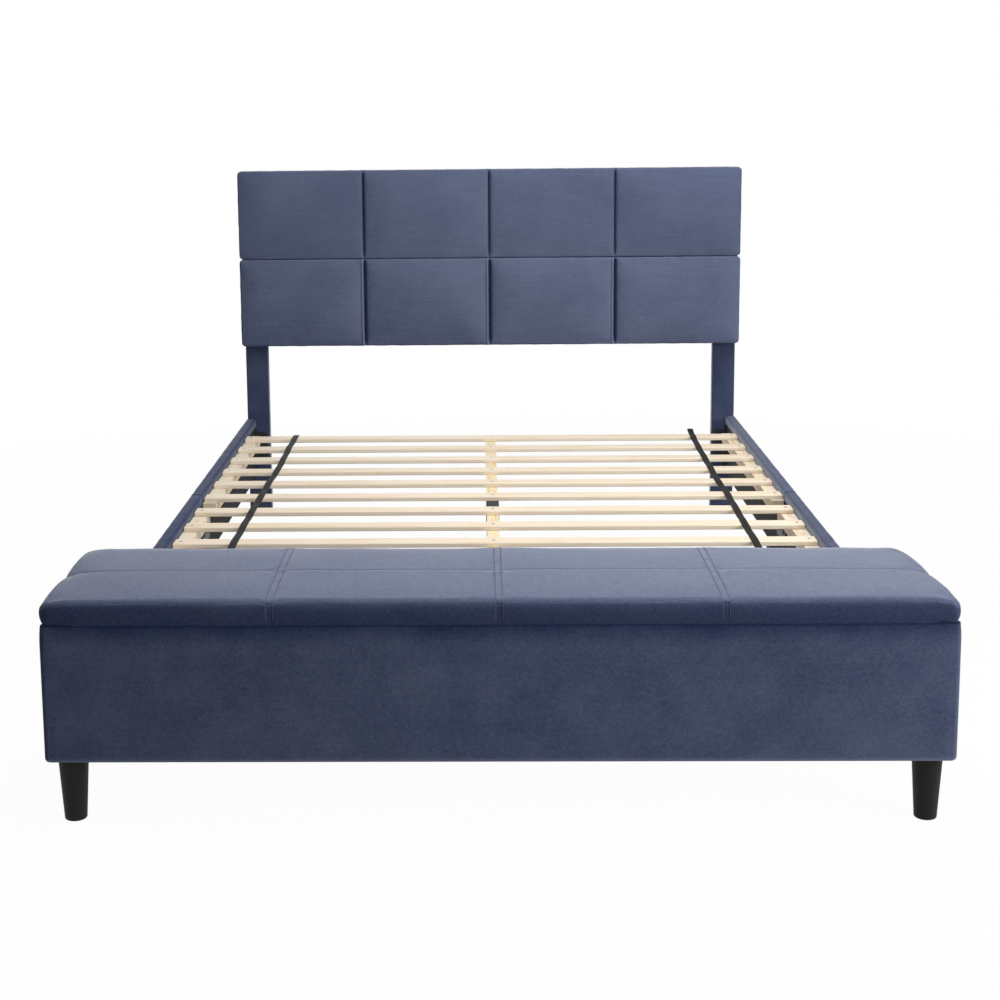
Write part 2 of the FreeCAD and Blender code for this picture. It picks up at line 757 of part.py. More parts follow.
# Tapered bench legs, each turned in one piece and hung on a bolt
leg_bolts = []
for end, leg_y in (("front", front_inner + size.leg_edge_along), ("back", back_inner - size.leg_edge_along)):
    for side, outward in sides.items():
        label = f"bench_leg_{end}_{side}"
        leg = doc.addObject("PartDesign::Body", label)
        leg.Label = label
        turning = leg.newObject("PartDesign::Revolution", f"{label}_turning")
        turning.Profile = outline(leg, "XZ_Plane", [(0, 0), (size.leg_foot_radius, 0),
                                                    (size.leg_top_radius, size.bench_clearance),
                                                    (0, size.bench_clearance)])
        turning.ReferenceAxis = (turning.Profile[0], ["V_Axis"])
        doc.recompute()
        rounded(leg, size.leg_round,
                lambda edge: edge.BoundBox.ZMax < size.leg_round.value and edge.BoundBox.XLength > 0)
        leg_x = (panel_inner - size.leg_edge_across) * outward
        place(leg, leg_x, leg_y, 0)
        pieces[label] = leg
        bolt_low = size.bench_clearance - size.leg_bolt_depth
        bolt_length = size.leg_bolt_depth + size.support_height - size.leg_bolt_margin
        leg_bolts.append(rod(f"bench_leg_bolt_{end}_{side}", size.leg_bolt_radius, bolt_length, leg_x, leg_y,
                             bolt_low, "z"))
        bore = rod(f"bench_leg_bore_{end}_{side}", size.leg_bolt_radius + size.hole_play,
                   bolt_length + size.hole_tip * 2, leg_x, leg_y, bolt_low - size.hole_tip, "z")
        for piece in (label, f"bench_block_{end}_{side}"):
            holes.setdefault(piece, []).append(bore)
pieces["bench_leg_bolts"] = group("bench_leg_bolts", leg_bolts)

# Lid: a board with a lining under it, inside a quilted cushion
lid_half = bench_half - size.lid_skirt
lid_depth = size.bench_depth - size.lid_skirt * 2
lid_front = foot_y + size.lid_skirt
pieces["lid_lining"] = block("lid_lining", lid_half * 2, lid_depth, size.lid_lining, -lid_half, lid_front,
                             lid_bottom)
pieces["lid_board"] = block("lid_board", lid_half * 2, lid_depth, size.lid_board, -lid_half, lid_front,
                            lid_bottom + size.lid_lining)
doc.recompute()
lid_quilt = quilted(bench_half.value, lid_section)
lid_quilt = lid_quilt.cut([pieces["lid_lining"].Shape, pieces["lid_board"].Shape])
pieces["lid_pad"] = soft_piece("lid_pad", lid_quilt)

# Butt hinges along the back edge: the box leaf has the outer knuckles and the lid leaf the middle one
outer_knuckle = (size.hinge_width - size.hinge_middle - size.knuckle_gap * 2) / 2
middle_half = size.hinge_middle / 2
hinge_half = size.hinge_width / 2
notch_reach = size.knuckle_radius + size.knuckle_gap
hinge_leaves = {"box": [], "lid": []}
hinge_screws = {"box": [], "lid": []}
hinge_pins = []
for hinge, centre in (("left", -size.hinge_spread), ("middle", as_size(0)), ("right", size.hinge_spread)):
    low = centre - hinge_half
    knuckles = {
        "box": [(low, outer_knuckle), (centre + hinge_half - outer_knuckle, outer_knuckle)],
        "lid": [(centre - middle_half, size.hinge_middle)],
    }
    gaps = {
        "box": [(centre - middle_half - size.knuckle_gap, size.hinge_middle + size.knuckle_gap * 2)],
        "lid": [(low - size.overrun, outer_knuckle + size.knuckle_gap + size.overrun),
                (centre + middle_half, outer_knuckle + size.knuckle_gap + size.overrun)],
    }
    leaf_floors = {"box": box_top, "lid": lid_bottom - size.leaf_thickness}
    leaf_reaches = {"box": size.box_leaf_reach, "lid": size.lid_leaf_reach}
    screw_setbacks = {"box": size.box_screw_setback, "lid": size.lid_screw_setback}
    for body, floor in leaf_floors.items():
        label = f"hinge_{hinge}_{body}_leaf"
        front = bench_back - leaf_reaches[body]
        plate = block(f"{label}_plate", size.hinge_width, hinge_y - front, size.leaf_thickness, low, front,
                      floor)
        notches = [block(f"{label}_notch_{number}", width, notch_reach + size.overrun,
                         size.knuckle_radius * 2, x, hinge_y - notch_reach, hinge_z - size.knuckle_radius)
                   for number, (x, width) in enumerate(gaps[body])]
        barrels = [rod(f"{label}_barrel_{number}", size.knuckle_radius, width, x, hinge_y, hinge_z, "x")
                   for number, (x, width) in enumerate(knuckles[body])]
        bore = rod(f"{label}_bore", size.pin_radius + size.pin_play, size.hinge_width + size.overrun * 2,
                   low - size.overrun, hinge_y, hinge_z, "x")
        leaf = fuse(f"{label}_solid", [cut(f"{label}_notched", plate, notches)] + barrels)
        pieces[label] = cut(f"{label}_bored", leaf, [bore])
        hinge_leaves[body].append(label)
        screw_y = bench_back - screw_setbacks[body]
        sink = size.hinge_screw_head_height
        screw_length = (size.leaf_thickness - sink + size.lid_lining + size.lid_board
                        - size.hinge_screw_margin)
        seat, along = ((floor + size.leaf_thickness - sink, "-z") if body == "box" else (floor + sink, "z"))
        into = ("bench_cover", "bench_back_panel") if body == "box" else ("lid_lining", "lid_board")
        for number, share in enumerate(hinge_screw_shares):
            hinge_screws[body].append(fasten(f"{label}_screw_{number}", "hinge_screw",
                                             centre + size.hinge_width * share, screw_y, seat, along,
                                             screw_length, (label,) + into, sunk=True))
    hinge_pins.append(rod(f"hinge_pin_{hinge}", size.pin_radius, size.hinge_width, low, hinge_y, hinge_z,
                          "x"))
for body in ("box", "lid"):
    pieces[f"hinge_{body}_screws"] = group(f"hinge_{body}_screws", hinge_screws[body])
pieces["hinge_pins"] = group("hinge_pins", hinge_pins)

# Drill every piece that a fastener passes through, and gather small alike pieces into groups
finished = {}
for label, piece in pieces.items():
    if label in holes:
        piece.Label = f"{label}_undrilled"
        finished[label] = cut(label, piece, holes[label])
    else:
        piece.Label = label
        finished[label] = piece
groups = {
    "rail_brackets": brackets,
    "rail_plates": plates,
    "rail_legs": mid_legs,
    "headboard_linings": linings,
    "bench_supports": supports,
    "hinge_box_leaves": hinge_leaves["box"],
    "hinge_lid_leaves": hinge_leaves["lid"],
}
for label, members in groups.items():
    finished[label] = group(label, [finished.pop(member) for member in members])
doc.recompute()

failed = [thing.Label for thing in doc.Objects if {"Invalid", "Error"} & set(thing.State)]
failed += [label for label, node in finished.items() if node.Shape.isNull() or not node.Shape.isValid()]
if failed:
    raise RuntimeError(f"these did not build: {failed}")

os.makedirs("parts", exist_ok=True)
for label, node in finished.items():
    node.Shape.exportStep(f"parts/{label}.step")
print(f"{len(finished)} pieces, {sum(len(node.Shape.Solids) for node in finished.values())} solids")
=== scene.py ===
import math

import bpy
import numpy as np
from mathutils import Matrix, Vector, noise

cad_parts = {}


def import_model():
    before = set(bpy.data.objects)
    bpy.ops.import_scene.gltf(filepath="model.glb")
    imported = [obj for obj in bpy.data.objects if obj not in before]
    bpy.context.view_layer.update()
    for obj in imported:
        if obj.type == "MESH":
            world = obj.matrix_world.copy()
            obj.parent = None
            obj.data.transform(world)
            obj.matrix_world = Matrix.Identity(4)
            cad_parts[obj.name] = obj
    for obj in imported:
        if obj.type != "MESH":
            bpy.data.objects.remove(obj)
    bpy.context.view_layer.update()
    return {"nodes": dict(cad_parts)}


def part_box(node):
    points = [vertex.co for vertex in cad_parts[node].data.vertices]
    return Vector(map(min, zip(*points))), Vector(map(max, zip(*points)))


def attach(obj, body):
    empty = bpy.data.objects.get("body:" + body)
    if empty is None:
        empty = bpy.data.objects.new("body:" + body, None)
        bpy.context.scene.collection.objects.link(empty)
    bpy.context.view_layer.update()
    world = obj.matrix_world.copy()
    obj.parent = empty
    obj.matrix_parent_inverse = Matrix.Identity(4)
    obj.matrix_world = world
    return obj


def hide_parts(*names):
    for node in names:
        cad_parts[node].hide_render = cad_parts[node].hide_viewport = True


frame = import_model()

nodes = frame["nodes"]
scene = bpy.context.scene
scene.view_settings.view_transform = "Standard"

# Camera, as read from the photograph's corners: in front of the bench and looking down a little
photoView = {"place": (-0.0256, -4.3184, 1.3357), "turn": -0.0221, "tilt": 0.1623, "roll": -0.0103,
             "lens": 62.17, "shift": (0.0557, -0.1157)}


def addCamera(view):
    ahead = Vector((math.sin(view["turn"]) * math.cos(view["tilt"]),
                    math.cos(view["turn"]) * math.cos(view["tilt"]),
                    -math.sin(view["tilt"])))
    level = Vector((math.cos(view["turn"]), -math.sin(view["turn"]), 0))
    upright = level.cross(ahead)
    across = level * math.cos(view["roll"]) + upright * math.sin(view["roll"])
    upward = upright * math.cos(view["roll"]) - level * math.sin(view["roll"])
    lens = bpy.data.cameras.new("photoCamera")
    lens.lens = view["lens"]
    lens.sensor_width = 36
    lens.shift_x, lens.shift_y = view["shift"]
    camera = bpy.data.objects.new("photoCamera", lens)
    camera.matrix_world = Matrix((across, upward, -ahead)).transposed().to_4x4()
    camera.location = view["place"]
    scene.collection.objects.link(camera)
    scene.camera = camera


addCamera(photoView)
print("camera placed")


# A socket that sums and products can be written with; node() adds any other node
class Wire:
    def __init__(self, tree, socket=None):
        self.tree = tree
        self.socket = socket

    def node(self, kind, settings, inputs, output=0):
        made = self.tree.nodes.new("ShaderNode" + kind)
        for name, value in settings.items():
            setattr(made, name, value)
        for name, value in inputs.items():
            if isinstance(value, Wire):
                self.tree.links.new(value.socket, made.inputs[name])
            else:
                made.inputs[name].default_value = value
        return Wire(self.tree, made.outputs[output] if len(made.outputs) else None)

    def math(self, operation, first, second):
        return self.node("Math", {"operation": operation}, {0: first, 1: second})

    def __add__(self, other):
        return self.math("ADD", self, other)

    def __radd__(self, other):
        return self.math("ADD", other, self)

    def __sub__(self, other):
        return self.math("SUBTRACT", self, other)

    def __rsub__(self, other):
        return self.math("SUBTRACT", other, self)

    def __mul__(self, other):
        return self.math("MULTIPLY", self, other)

    def __rmul__(self, other):
        return self.math("MULTIPLY", other, self)

    # 0 below low, 1 above high, smooth between
    def ramp(self, low, high):
        return self.node("MapRange", {"interpolation_type": "SMOOTHSTEP"}, {0: self, 1: low, 2: high})

    def scaled(self, stretch):
        return self.node("VectorMath", {"operation": "MULTIPLY"}, {0: self, 1: stretch})

    def grain(self, scale, detail=2.0, rough=0.5):
        return self.node("TexNoise", {}, {"Vector": self, "Scale": scale, "Detail": detail,
                                          "Roughness": rough}, "Fac")

    # this value picks between two colours
    def tint(self, first, second, way="MIX"):
        return self.node("Mix", {"data_type": "RGBA", "blend_type": way}, {0: self, 6: first, 7: second}, 2)


def rgb(red, green, blue):
    linear = [c / 12.92 if c <= 0.04045 else ((c + 0.055) / 1.055) ** 2.4
              for c in (red / 255, green / 255, blue / 255)]
    return (*linear, 1.0)


def newFinish(name):
    finish = bpy.data.materials.new(name)
    finish.use_nodes = True
    finish.node_tree.nodes.clear()
    return finish, Wire(finish.node_tree)


def principled(wire, colour, roughness, height, depth, strength=1.0, **fixed):
    bump = wire.node("Bump", {}, {"Height": height, "Distance": depth, "Strength": strength})
    inputs = {"Base Color": colour, "Roughness": roughness, "Normal": bump}
    for name, value in fixed.items():
        inputs[name.replace("_", " ")] = value
    return wire.node("BsdfPrincipled", {}, inputs)


def finishWith(wire, shader):
    wire.node("OutputMaterial", {}, {"Surface": shader})


# Velvet: nap brushed into soft patches, fine streaks along the cloth and single fibres
velvet = {"deep": rgb(24, 38, 74), "light": rgb(103, 112, 138), "fibre": 1300.0,
          "sheenRough": 0.32, "sheenTint": rgb(223, 226, 234)}
# The cloth of each piece: how pale it is brushed, which way faces are painted paler (painted light and shade by how a
# face turns:
# turned that way, painted lighter; turned away, painted darker), how patchy, mottled and streaky it is, and how much
# its pile stands up
cloths = {
    # headboard panels: faces turned to the front are painted paler; on the lower panel faces turned right are painted
    # paler still, a painted highlight on the lip beside each seam
    "upperPanel": {"pale": 0.5, "paintedLightWay": (0.0, -0.12, 0.0), "patch": 4.0, "patchy": 0.45, "mottle": 0.24,
                   "streaky": 0.22, "nub": 0.55, "sheen": 1.0, "along": (1.0, 34.0, 34.0)},
    "lowerPanel": {"pale": 0.5, "paintedLightWay": (0.6, -0.15, 0.3), "patch": 4.0, "patchy": 0.5, "mottle": 0.34,
                   "streaky": 0.3, "nub": 0.55, "sheen": 1.0, "along": (1.0, 34.0, 34.0)},
    # lid: faces turned up and back are painted paler, the front is painted darker
    "lid": {"pale": 0.5, "paintedLightWay": (0.0, 0.22, 0.2), "patch": 6.0, "patchy": 0.2, "mottle": 0.16,
            "streaky": 0.62, "nub": 0.5, "sheen": 1.0, "along": (13.0, 6.0, 130.0)},
    # box: the shoulder under the lid, turned up, is painted darker, a painted shadow of the lid; faces turned right
    # are painted a little paler, a painted highlight
    "box": {"pale": 0.5, "paintedLightWay": (0.12, 0.02, -1.4), "patch": 8.5, "patchy": 0.4, "mottle": 0.4,
            "streaky": 0.1, "nub": 0.55, "sheen": 1.0, "along": (1.0, 34.0, 34.0)},
    # posts: faces turned to the front are painted darker, painted shade
    "post": {"pale": 0.5, "paintedLightWay": (0.0, 0.14, 0.0), "patch": 9.0, "patchy": 0.5, "mottle": 0.35,
             "streaky": 0.05, "nub": 0.55, "sheen": 1.0, "along": (34.0, 34.0, 1.0)},
    # rails: the left rail is a shaded copy of the same velvet, with painted shade from a low pale value and less
    # sheen; the right rail is a lit copy, painted paler; on both, faces turned up are painted darker
    "leftRail": {"pale": 0.12, "paintedLightWay": (0.0, 0.0, -0.06), "patch": 14.0, "patchy": 0.8, "mottle": 0.8,
                 "streaky": 0.05, "nub": 0.55, "sheen": 0.42, "along": (34.0, 1.0, 34.0)},
    "litRightRail": {"pale": 0.6, "paintedLightWay": (0.0, 0.0, -0.4), "patch": 14.0, "patchy": 0.5, "mottle": 0.5,
                  "streaky": 0.05, "nub": 0.55, "sheen": 0.7, "along": (34.0, 1.0, 34.0)},
}


def velvetShader(wire, look):
    place = wire.node("TexCoord", {}, {}, "Object")
    facing = wire.node("NewGeometry", {}, {}, "Normal")
    # painted light and shade: a face turned along paintedLightWay is painted paler, one turned against it darker
    lean = facing.node("VectorMath", {"operation": "DOT_PRODUCT"}, {0: facing, 1: look["paintedLightWay"]}, "Value")
    patches = place.grain(look["patch"], 4.0, 0.6)
    streaks = place.scaled(look["along"]).grain(9.0, 3.0, 0.6)
    fibres = place.grain(velvet["fibre"], 1.0)
    crinkle = place.grain(190.0, 3.0, 0.65)
    brushed = (patches - 0.5) * look["patchy"] + (streaks - 0.5) * look["streaky"]
    uneven = brushed + (fibres - 0.5) * 0.35 + (crinkle - 0.5) * look["mottle"]
    colour = (look["pale"] + uneven + lean).ramp(0.0, 1.0).tint(velvet["deep"], velvet["light"])
    height = fibres * 0.35 + crinkle * 0.5 + streaks * look["streaky"]
    return principled(wire, colour, 0.82 + fibres * 0.14, height, 0.0009, look["nub"],
                      Sheen_Weight=look["sheen"], Sheen_Roughness=velvet["sheenRough"],
                      Sheen_Tint=velvet["sheenTint"], Specular_IOR_Level=0.2)


def velvetFinish(piece):
    finish, wire = newFinish(piece + "Velvet")
    finishWith(wire, velvetShader(wire, cloths[piece]))
    return finish


# Headboard: painted shade in the creases: where a panel turns into a seam or the joint of the panels, a dark velvet
# without sheen is mixed in
paintedSeamShade = {"low": rgb(25, 46, 100), "high": rgb(50, 74, 134), "seams": (-0.4, 0.0, 0.4),
        "joint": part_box("headboard_upper_pad")[0].z, "flat": 0.75, "turned": 0.99, "near": 0.006, "far": 0.01}


def panelFinish(piece):
    finish, wire = newFinish(piece + "Velvet")
    cloth = velvetShader(wire, cloths[piece])
    place = wire.node("TexCoord", {}, {}, "Object")
    fibres = place.grain(velvet["fibre"], 1.0)
    # painted shade: dark velvet without sheen, mixed in where a face turns away from the front near a seam or the
    # joint
    shadedSeamShader = principled(wire, fibres.tint(paintedSeamShade["low"], paintedSeamShade["high"]), 0.86 + fibres * 0.1, fibres, 0.0003, 0.5,
                        Specular_IOR_Level=0.1)
    facing = wire.node("NewGeometry", {}, {}, "Normal")
    ahead = facing.node("SeparateXYZ", {}, {0: facing}, "Y")
    turned = (1.0 - ahead * ahead).ramp(paintedSeamShade["flat"], paintedSeamShade["turned"])
    across = place.node("SeparateXYZ", {}, {0: place}, "X")
    nearest = place.node("SeparateXYZ", {}, {0: place}, "Z") - paintedSeamShade["joint"]
    nearest = nearest * nearest
    for seam in paintedSeamShade["seams"]:
        aside = across - seam
        nearest = nearest.math("MINIMUM", nearest, aside * aside)
    sewn = 1.0 - nearest.ramp(paintedSeamShade["near"] ** 2, paintedSeamShade["far"] ** 2)
    finishWith(wire, wire.node("MixShader", {}, {0: turned * sewn, 1: cloth, 2: shadedSeamShader}))
    return finish


# Black spunbond lining with its pressed dots
lining = {"thin": rgb(8, 8, 9), "thick": rgb(20, 20, 22), "dots": 420.0}


def liningShader(wire):
    place = wire.node("TexCoord", {}, {}, "Object")
    dots = place.node("TexVoronoi", {}, {"Vector": place, "Scale": lining["dots"], "Randomness": 0.12}, "Distance")
    threads = place.grain(900.0, 2.0)
    clouds = place.grain(24.0, 3.0)
    pressed = dots.ramp(0.16, 0.34)
    tone = clouds * 0.5 + threads * 0.3 + pressed * 0.2
    colour = tone.ramp(0.2, 0.85).tint(lining["thin"], lining["thick"])
    return principled(wire, colour, 0.72 + threads * 0.2, pressed * 0.6 + threads * 0.4, 0.0004, 0.5,
                      Specular_IOR_Level=0.15)


def liningFinish():
    finish, wire = newFinish("blackLining")
    finishWith(wire, liningShader(wire))
    return finish


# Rails: velvet outside, over the top and down to the ledger; lining on the rest of the inner face
railDress = {"innerFace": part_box("side_rail_right_foot")[0].x + 0.0015,
             "hem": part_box("slat_ledger_right_foot")[1].z - 0.0005}


def railFinish(piece):
    finish, wire = newFinish(piece + "Velvet")
    cloth = velvetShader(wire, cloths[piece])
    backing = liningShader(wire)
    place = wire.node("TexCoord", {}, {}, "Object")
    side = place.node("SeparateXYZ", {}, {0: place}, "X")
    height = place.node("SeparateXYZ", {}, {0: place}, "Z")
    ragged = (place.grain(60.0, 2.0) - 0.5) * 0.006
    inside = side.math("LESS_THAN", side * side, railDress["innerFace"] ** 2)
    below = height.math("LESS_THAN", height + ragged, railDress["hem"])
    finishWith(wire, wire.node("MixShader", {}, {0: inside * below, 1: cloth, 2: backing}))
    return finish


# Pine: streaks along the grain, darker late wood lines, a few knots and specks
pines = {
    "slatPine": {"pale": rgb(235, 220, 198), "uprightFaceColour": rgb(243, 229, 208), "warm": rgb(223, 198, 162),
                 "knot": rgb(128, 88, 54), "knots": 0.72, "lines": 0.6, "along": (1.0, 22.0, 22.0)},
    "ledgerPine": {"pale": rgb(240, 227, 206), "uprightFaceColour": rgb(226, 208, 178), "warm": rgb(222, 198, 162),
                   "knot": rgb(128, 88, 54), "knots": 0.76, "lines": 0.6, "along": (22.0, 1.0, 22.0)},
    "beamPine": {"pale": rgb(240, 222, 186), "uprightFaceColour": rgb(230, 204, 156), "warm": rgb(222, 190, 136),
                 "knot": rgb(140, 94, 52), "knots": 0.72, "lines": 0.75, "along": (22.0, 1.0, 22.0)},
}


def pineFinish(name):
    look = pines[name]
    finish, wire = newFinish(name)
    place = wire.node("TexCoord", {}, {}, "Object")
    drawn = place.scaled(look["along"])
    board = place.scaled(tuple(0.8 if share == 1.0 else 6.2 for share in look["along"])).grain(1.0, 1.0)
    streaks = drawn.grain(6.0, 4.0, 0.6)
    fine = drawn.grain(38.0, 3.0, 0.65)
    bent = drawn.grain(1.6, 2.0)
    rings = wire.node("Math", {"operation": "SINE"}, {0: (bent * 34.0 + streaks * 3.0)})
    knotPlace = place.scaled(tuple(2.3 if share == 1.0 else 9.0 for share in look["along"]))
    cell = {"Vector": knotPlace, "Scale": 1.0, "Randomness": 0.95}
    near = wire.node("TexVoronoi", {}, cell, "Distance")
    chance = wire.node("TexVoronoi", {}, cell, "Color")
    picked = chance.node("SeparateColor", {}, {0: chance}, 0).ramp(look["knots"], look["knots"] + 0.02)
    knot = (1.0 - near.ramp(0.02, 0.085)) * picked
    halo = (1.0 - near.ramp(0.05, 0.24)) * picked
    specks = place.scaled(tuple(60.0 if share == 1.0 else 240.0 for share in look["along"])).grain(1.0, 1.0)
    speck = specks.ramp(0.76, 0.82)
    late = rings.ramp(0.55, 1.0) * look["lines"] + (fine - 0.5) * 0.35 + (board - 0.5) * 0.9 + halo * 0.45
    colour = late.ramp(-0.1, 1.0).tint(look["pale"], look["warm"])
    # upright faces are tinted their own colour: on the slats a painted highlight, paler than the tops; on the ledgers
    # and the beam darker
    facing = wire.node("NewGeometry", {}, {}, "Normal")
    level = facing.node("SeparateXYZ", {}, {0: facing}, "Z")
    colour = ((1.0 - (level * level).ramp(0.1, 0.7)) * 0.75).tint(colour, look["uprightFaceColour"])
    colour = (knot * 0.9 + speck * 0.45).ramp(0.0, 1.0).tint(colour, look["knot"])
    height = fine * 0.6 - rings * 0.15 - knot * 0.4
    shader = principled(wire, colour, 0.5 + fine * 0.22 - knot * 0.12, height, 0.0006, 0.35, Specular_IOR_Level=0.35)
    finishWith(wire, shader)
    return finish


# Board: pressed chips under a thin pale face
chipboard = {"pale": rgb(196, 172, 136), "dark": rgb(142, 112, 78)}


def boardFinish():
    finish, wire = newFinish("chipboard")
    place = wire.node("TexCoord", {}, {}, "Object")
    chips = wire.node("TexVoronoi", {}, {"Vector": place.scaled((1.0, 1.0, 1.6)), "Scale": 240.0}, "Color")
    shade = chips.node("SeparateColor", {}, {0: chips}, 0)
    fine = place.grain(1500.0, 2.0)
    clouds = place.grain(6.0, 3.0)
    tone = shade * 0.55 + fine * 0.25 + clouds * 0.35
    colour = tone.ramp(0.15, 1.0).tint(chipboard["dark"], chipboard["pale"])
    finishWith(wire, principled(wire, colour, 0.66 + fine * 0.2, shade * 0.5 + fine * 0.5, 0.0004, 0.4))
    return finish


# Legs: black stain over open grain, a little worn at the foot
stain = {"black": rgb(9, 9, 9), "brown": rgb(30, 27, 25)}


def stainedFinish():
    finish, wire = newFinish("blackStain")
    place = wire.node("TexCoord", {}, {}, "Object")
    pores = place.scaled((1.0, 1.0, 0.05)).grain(520.0, 3.0, 0.6)
    figure = place.scaled((1.0, 1.0, 0.16)).grain(46.0, 3.0)
    foot = place.node("SeparateXYZ", {}, {0: place}, "Z")
    worn = (1.0 - foot.ramp(0.0, 0.02)) * place.grain(180.0, 2.0).ramp(0.45, 0.7)
    tone = (figure - 0.5) * 0.9 + (pores - 0.5) * 0.8 + 0.35 + worn * 0.35
    colour = tone.ramp(0.0, 1.0).tint(stain["black"], stain["brown"])
    finishWith(wire, principled(wire, colour, 0.5 + pores * 0.22, pores, 0.0004, 0.5, Specular_IOR_Level=0.22))
    return finish


# Metal: fine rolling marks, a little dulling
metals = {
    "zincPlate": {"low": rgb(150, 152, 156), "high": rgb(196, 198, 203), "metal": 1.0, "rough": 0.34},
    "darkScrew": {"low": rgb(84, 80, 76), "high": rgb(128, 122, 116), "metal": 1.0, "rough": 0.42},
    "blackSteel": {"low": rgb(14, 14, 15), "high": rgb(28, 28, 29), "metal": 0.0, "rough": 0.5},
    "blackPlastic": {"low": rgb(22, 22, 23), "high": rgb(34, 34, 36), "metal": 0.0, "rough": 0.52},
}


def metalFinish(name):
    look = metals[name]
    finish, wire = newFinish(name)
    place = wire.node("TexCoord", {}, {}, "Object")
    clouds = place.grain(60.0, 4.0, 0.6)
    fine = place.grain(1100.0, 2.0)
    colour = (clouds * 0.7 + fine * 0.3).ramp(0.25, 0.75).tint(look["low"], look["high"])
    shader = principled(wire, colour, look["rough"] + (clouds - 0.5) * 0.25, fine, 0.0002, 0.4, Metallic=look["metal"])
    finishWith(wire, shader)
    return finish


# Webbing: charcoal ribs across the strap
webbing = {"low": rgb(9, 9, 9), "high": rgb(33, 31, 30), "ribs": 0.0022}


def webbingFinish():
    finish, wire = newFinish("webbing")
    place = wire.node("TexCoord", {}, {}, "Object")
    along = place.node("SeparateXYZ", {}, {0: place}, "Y")
    across = place.node("SeparateXYZ", {}, {0: place}, "X")
    rib = wire.node("Math", {"operation": "SINE"}, {0: along * (2 * math.pi / webbing["ribs"])})
    yarn = wire.node("Math", {"operation": "SINE"}, {0: across * (2 * math.pi / (webbing["ribs"] * 0.75))})
    fuzz = place.grain(700.0, 2.0)
    weave = rib * yarn * 0.25 + 0.5
    dust = place.grain(18.0, 3.0)
    colour = (weave * 0.5 + fuzz * 0.3 + (dust - 0.5) * 0.7 + 0.1).ramp(0.0, 1.0).tint(webbing["low"], webbing["high"])
    finishWith(wire, principled(wire, colour, 0.7 + fuzz * 0.2, weave + fuzz * 0.3, 0.0005, 0.6,
                                Specular_IOR_Level=0.15))
    return finish


# Thread of the seams, about as dark as the velvet
thread = {"low": rgb(72, 80, 106), "high": rgb(100, 108, 134)}


def threadFinish():
    finish, wire = newFinish("seamThread")
    place = wire.node("TexCoord", {}, {}, "Object")
    twist = place.grain(2600.0, 2.0)
    colour = twist.tint(thread["low"], thread["high"])
    finishWith(wire, principled(wire, colour, 0.6 + twist * 0.2, twist, 0.0002, 0.5))
    return finish


finishes = {
    "upperPanel": panelFinish("upperPanel"),
    "lowerPanel": panelFinish("lowerPanel"),
    "lid": velvetFinish("lid"),
    "box": velvetFinish("box"),
    "post": velvetFinish("post"),
    "leftRail": railFinish("leftRail"),
    "litRightRail": railFinish("litRightRail"),
    "lining": liningFinish(),
    "slatPine": pineFinish("slatPine"),
    "ledgerPine": pineFinish("ledgerPine"),
    "beamPine": pineFinish("beamPine"),
    "board": boardFinish(),
    "stain": stainedFinish(),
    "zinc": metalFinish("zincPlate"),
    "screw": metalFinish("darkScrew"),
    "steel": metalFinish("blackSteel"),
    "plastic": metalFinish("blackPlastic"),
    "webbing": webbingFinish(),
    "thread": threadFinish(),
}
print("finishes made:", len(finishes))


# Rows from the first anchor to the last, close together beside each anchor
def spacing(anchors, near, step):
    places = {round(anchors[-1], 6)}
    for low, high in zip(anchors, anchors[1:]):
        gaps = [gap for gap in near if gap < (high - low) / 2]
        places.add(round(low, 6))
        places.update(round(low + gap, 6) for gap in gaps)
        places.update(round(high - gap, 6) for gap in gaps)
        count = max(1, round((high - low - 2 * gaps[-1]) / step))
        places.update(round(float(place), 6) for place in np.linspace(low + gaps[-1], high - gaps[-1], count + 1))
    return sorted(places)


# The closed skin of a block as a grid of quads
def blockSkin(rows):
    index = {}
    points = []
    faces = []
    counts = [len(row) for row in rows]
    for axis in range(3):
        first = (axis + 1) % 3
        second = (axis + 2) % 3
        for end in (0, counts[axis] - 1):
            for i in range(counts[first] - 1):
                for j in range(counts[second] - 1):
                    ring = []
                    for di, dj in ((0, 0), (1, 0), (1, 1), (0, 1)):
                        key = [0, 0, 0]
                        key[axis] = end
                        key[first] = i + di
                        key[second] = j + dj
                        key = tuple(key)
                        if key not in index:
                            index[key] = len(points)
                            points.append([rows[k][key[k]] for k in range(3)])
                        ring.append(index[key])
                    faces.append(ring if end else ring[::-1])
    return np.array(points), faces


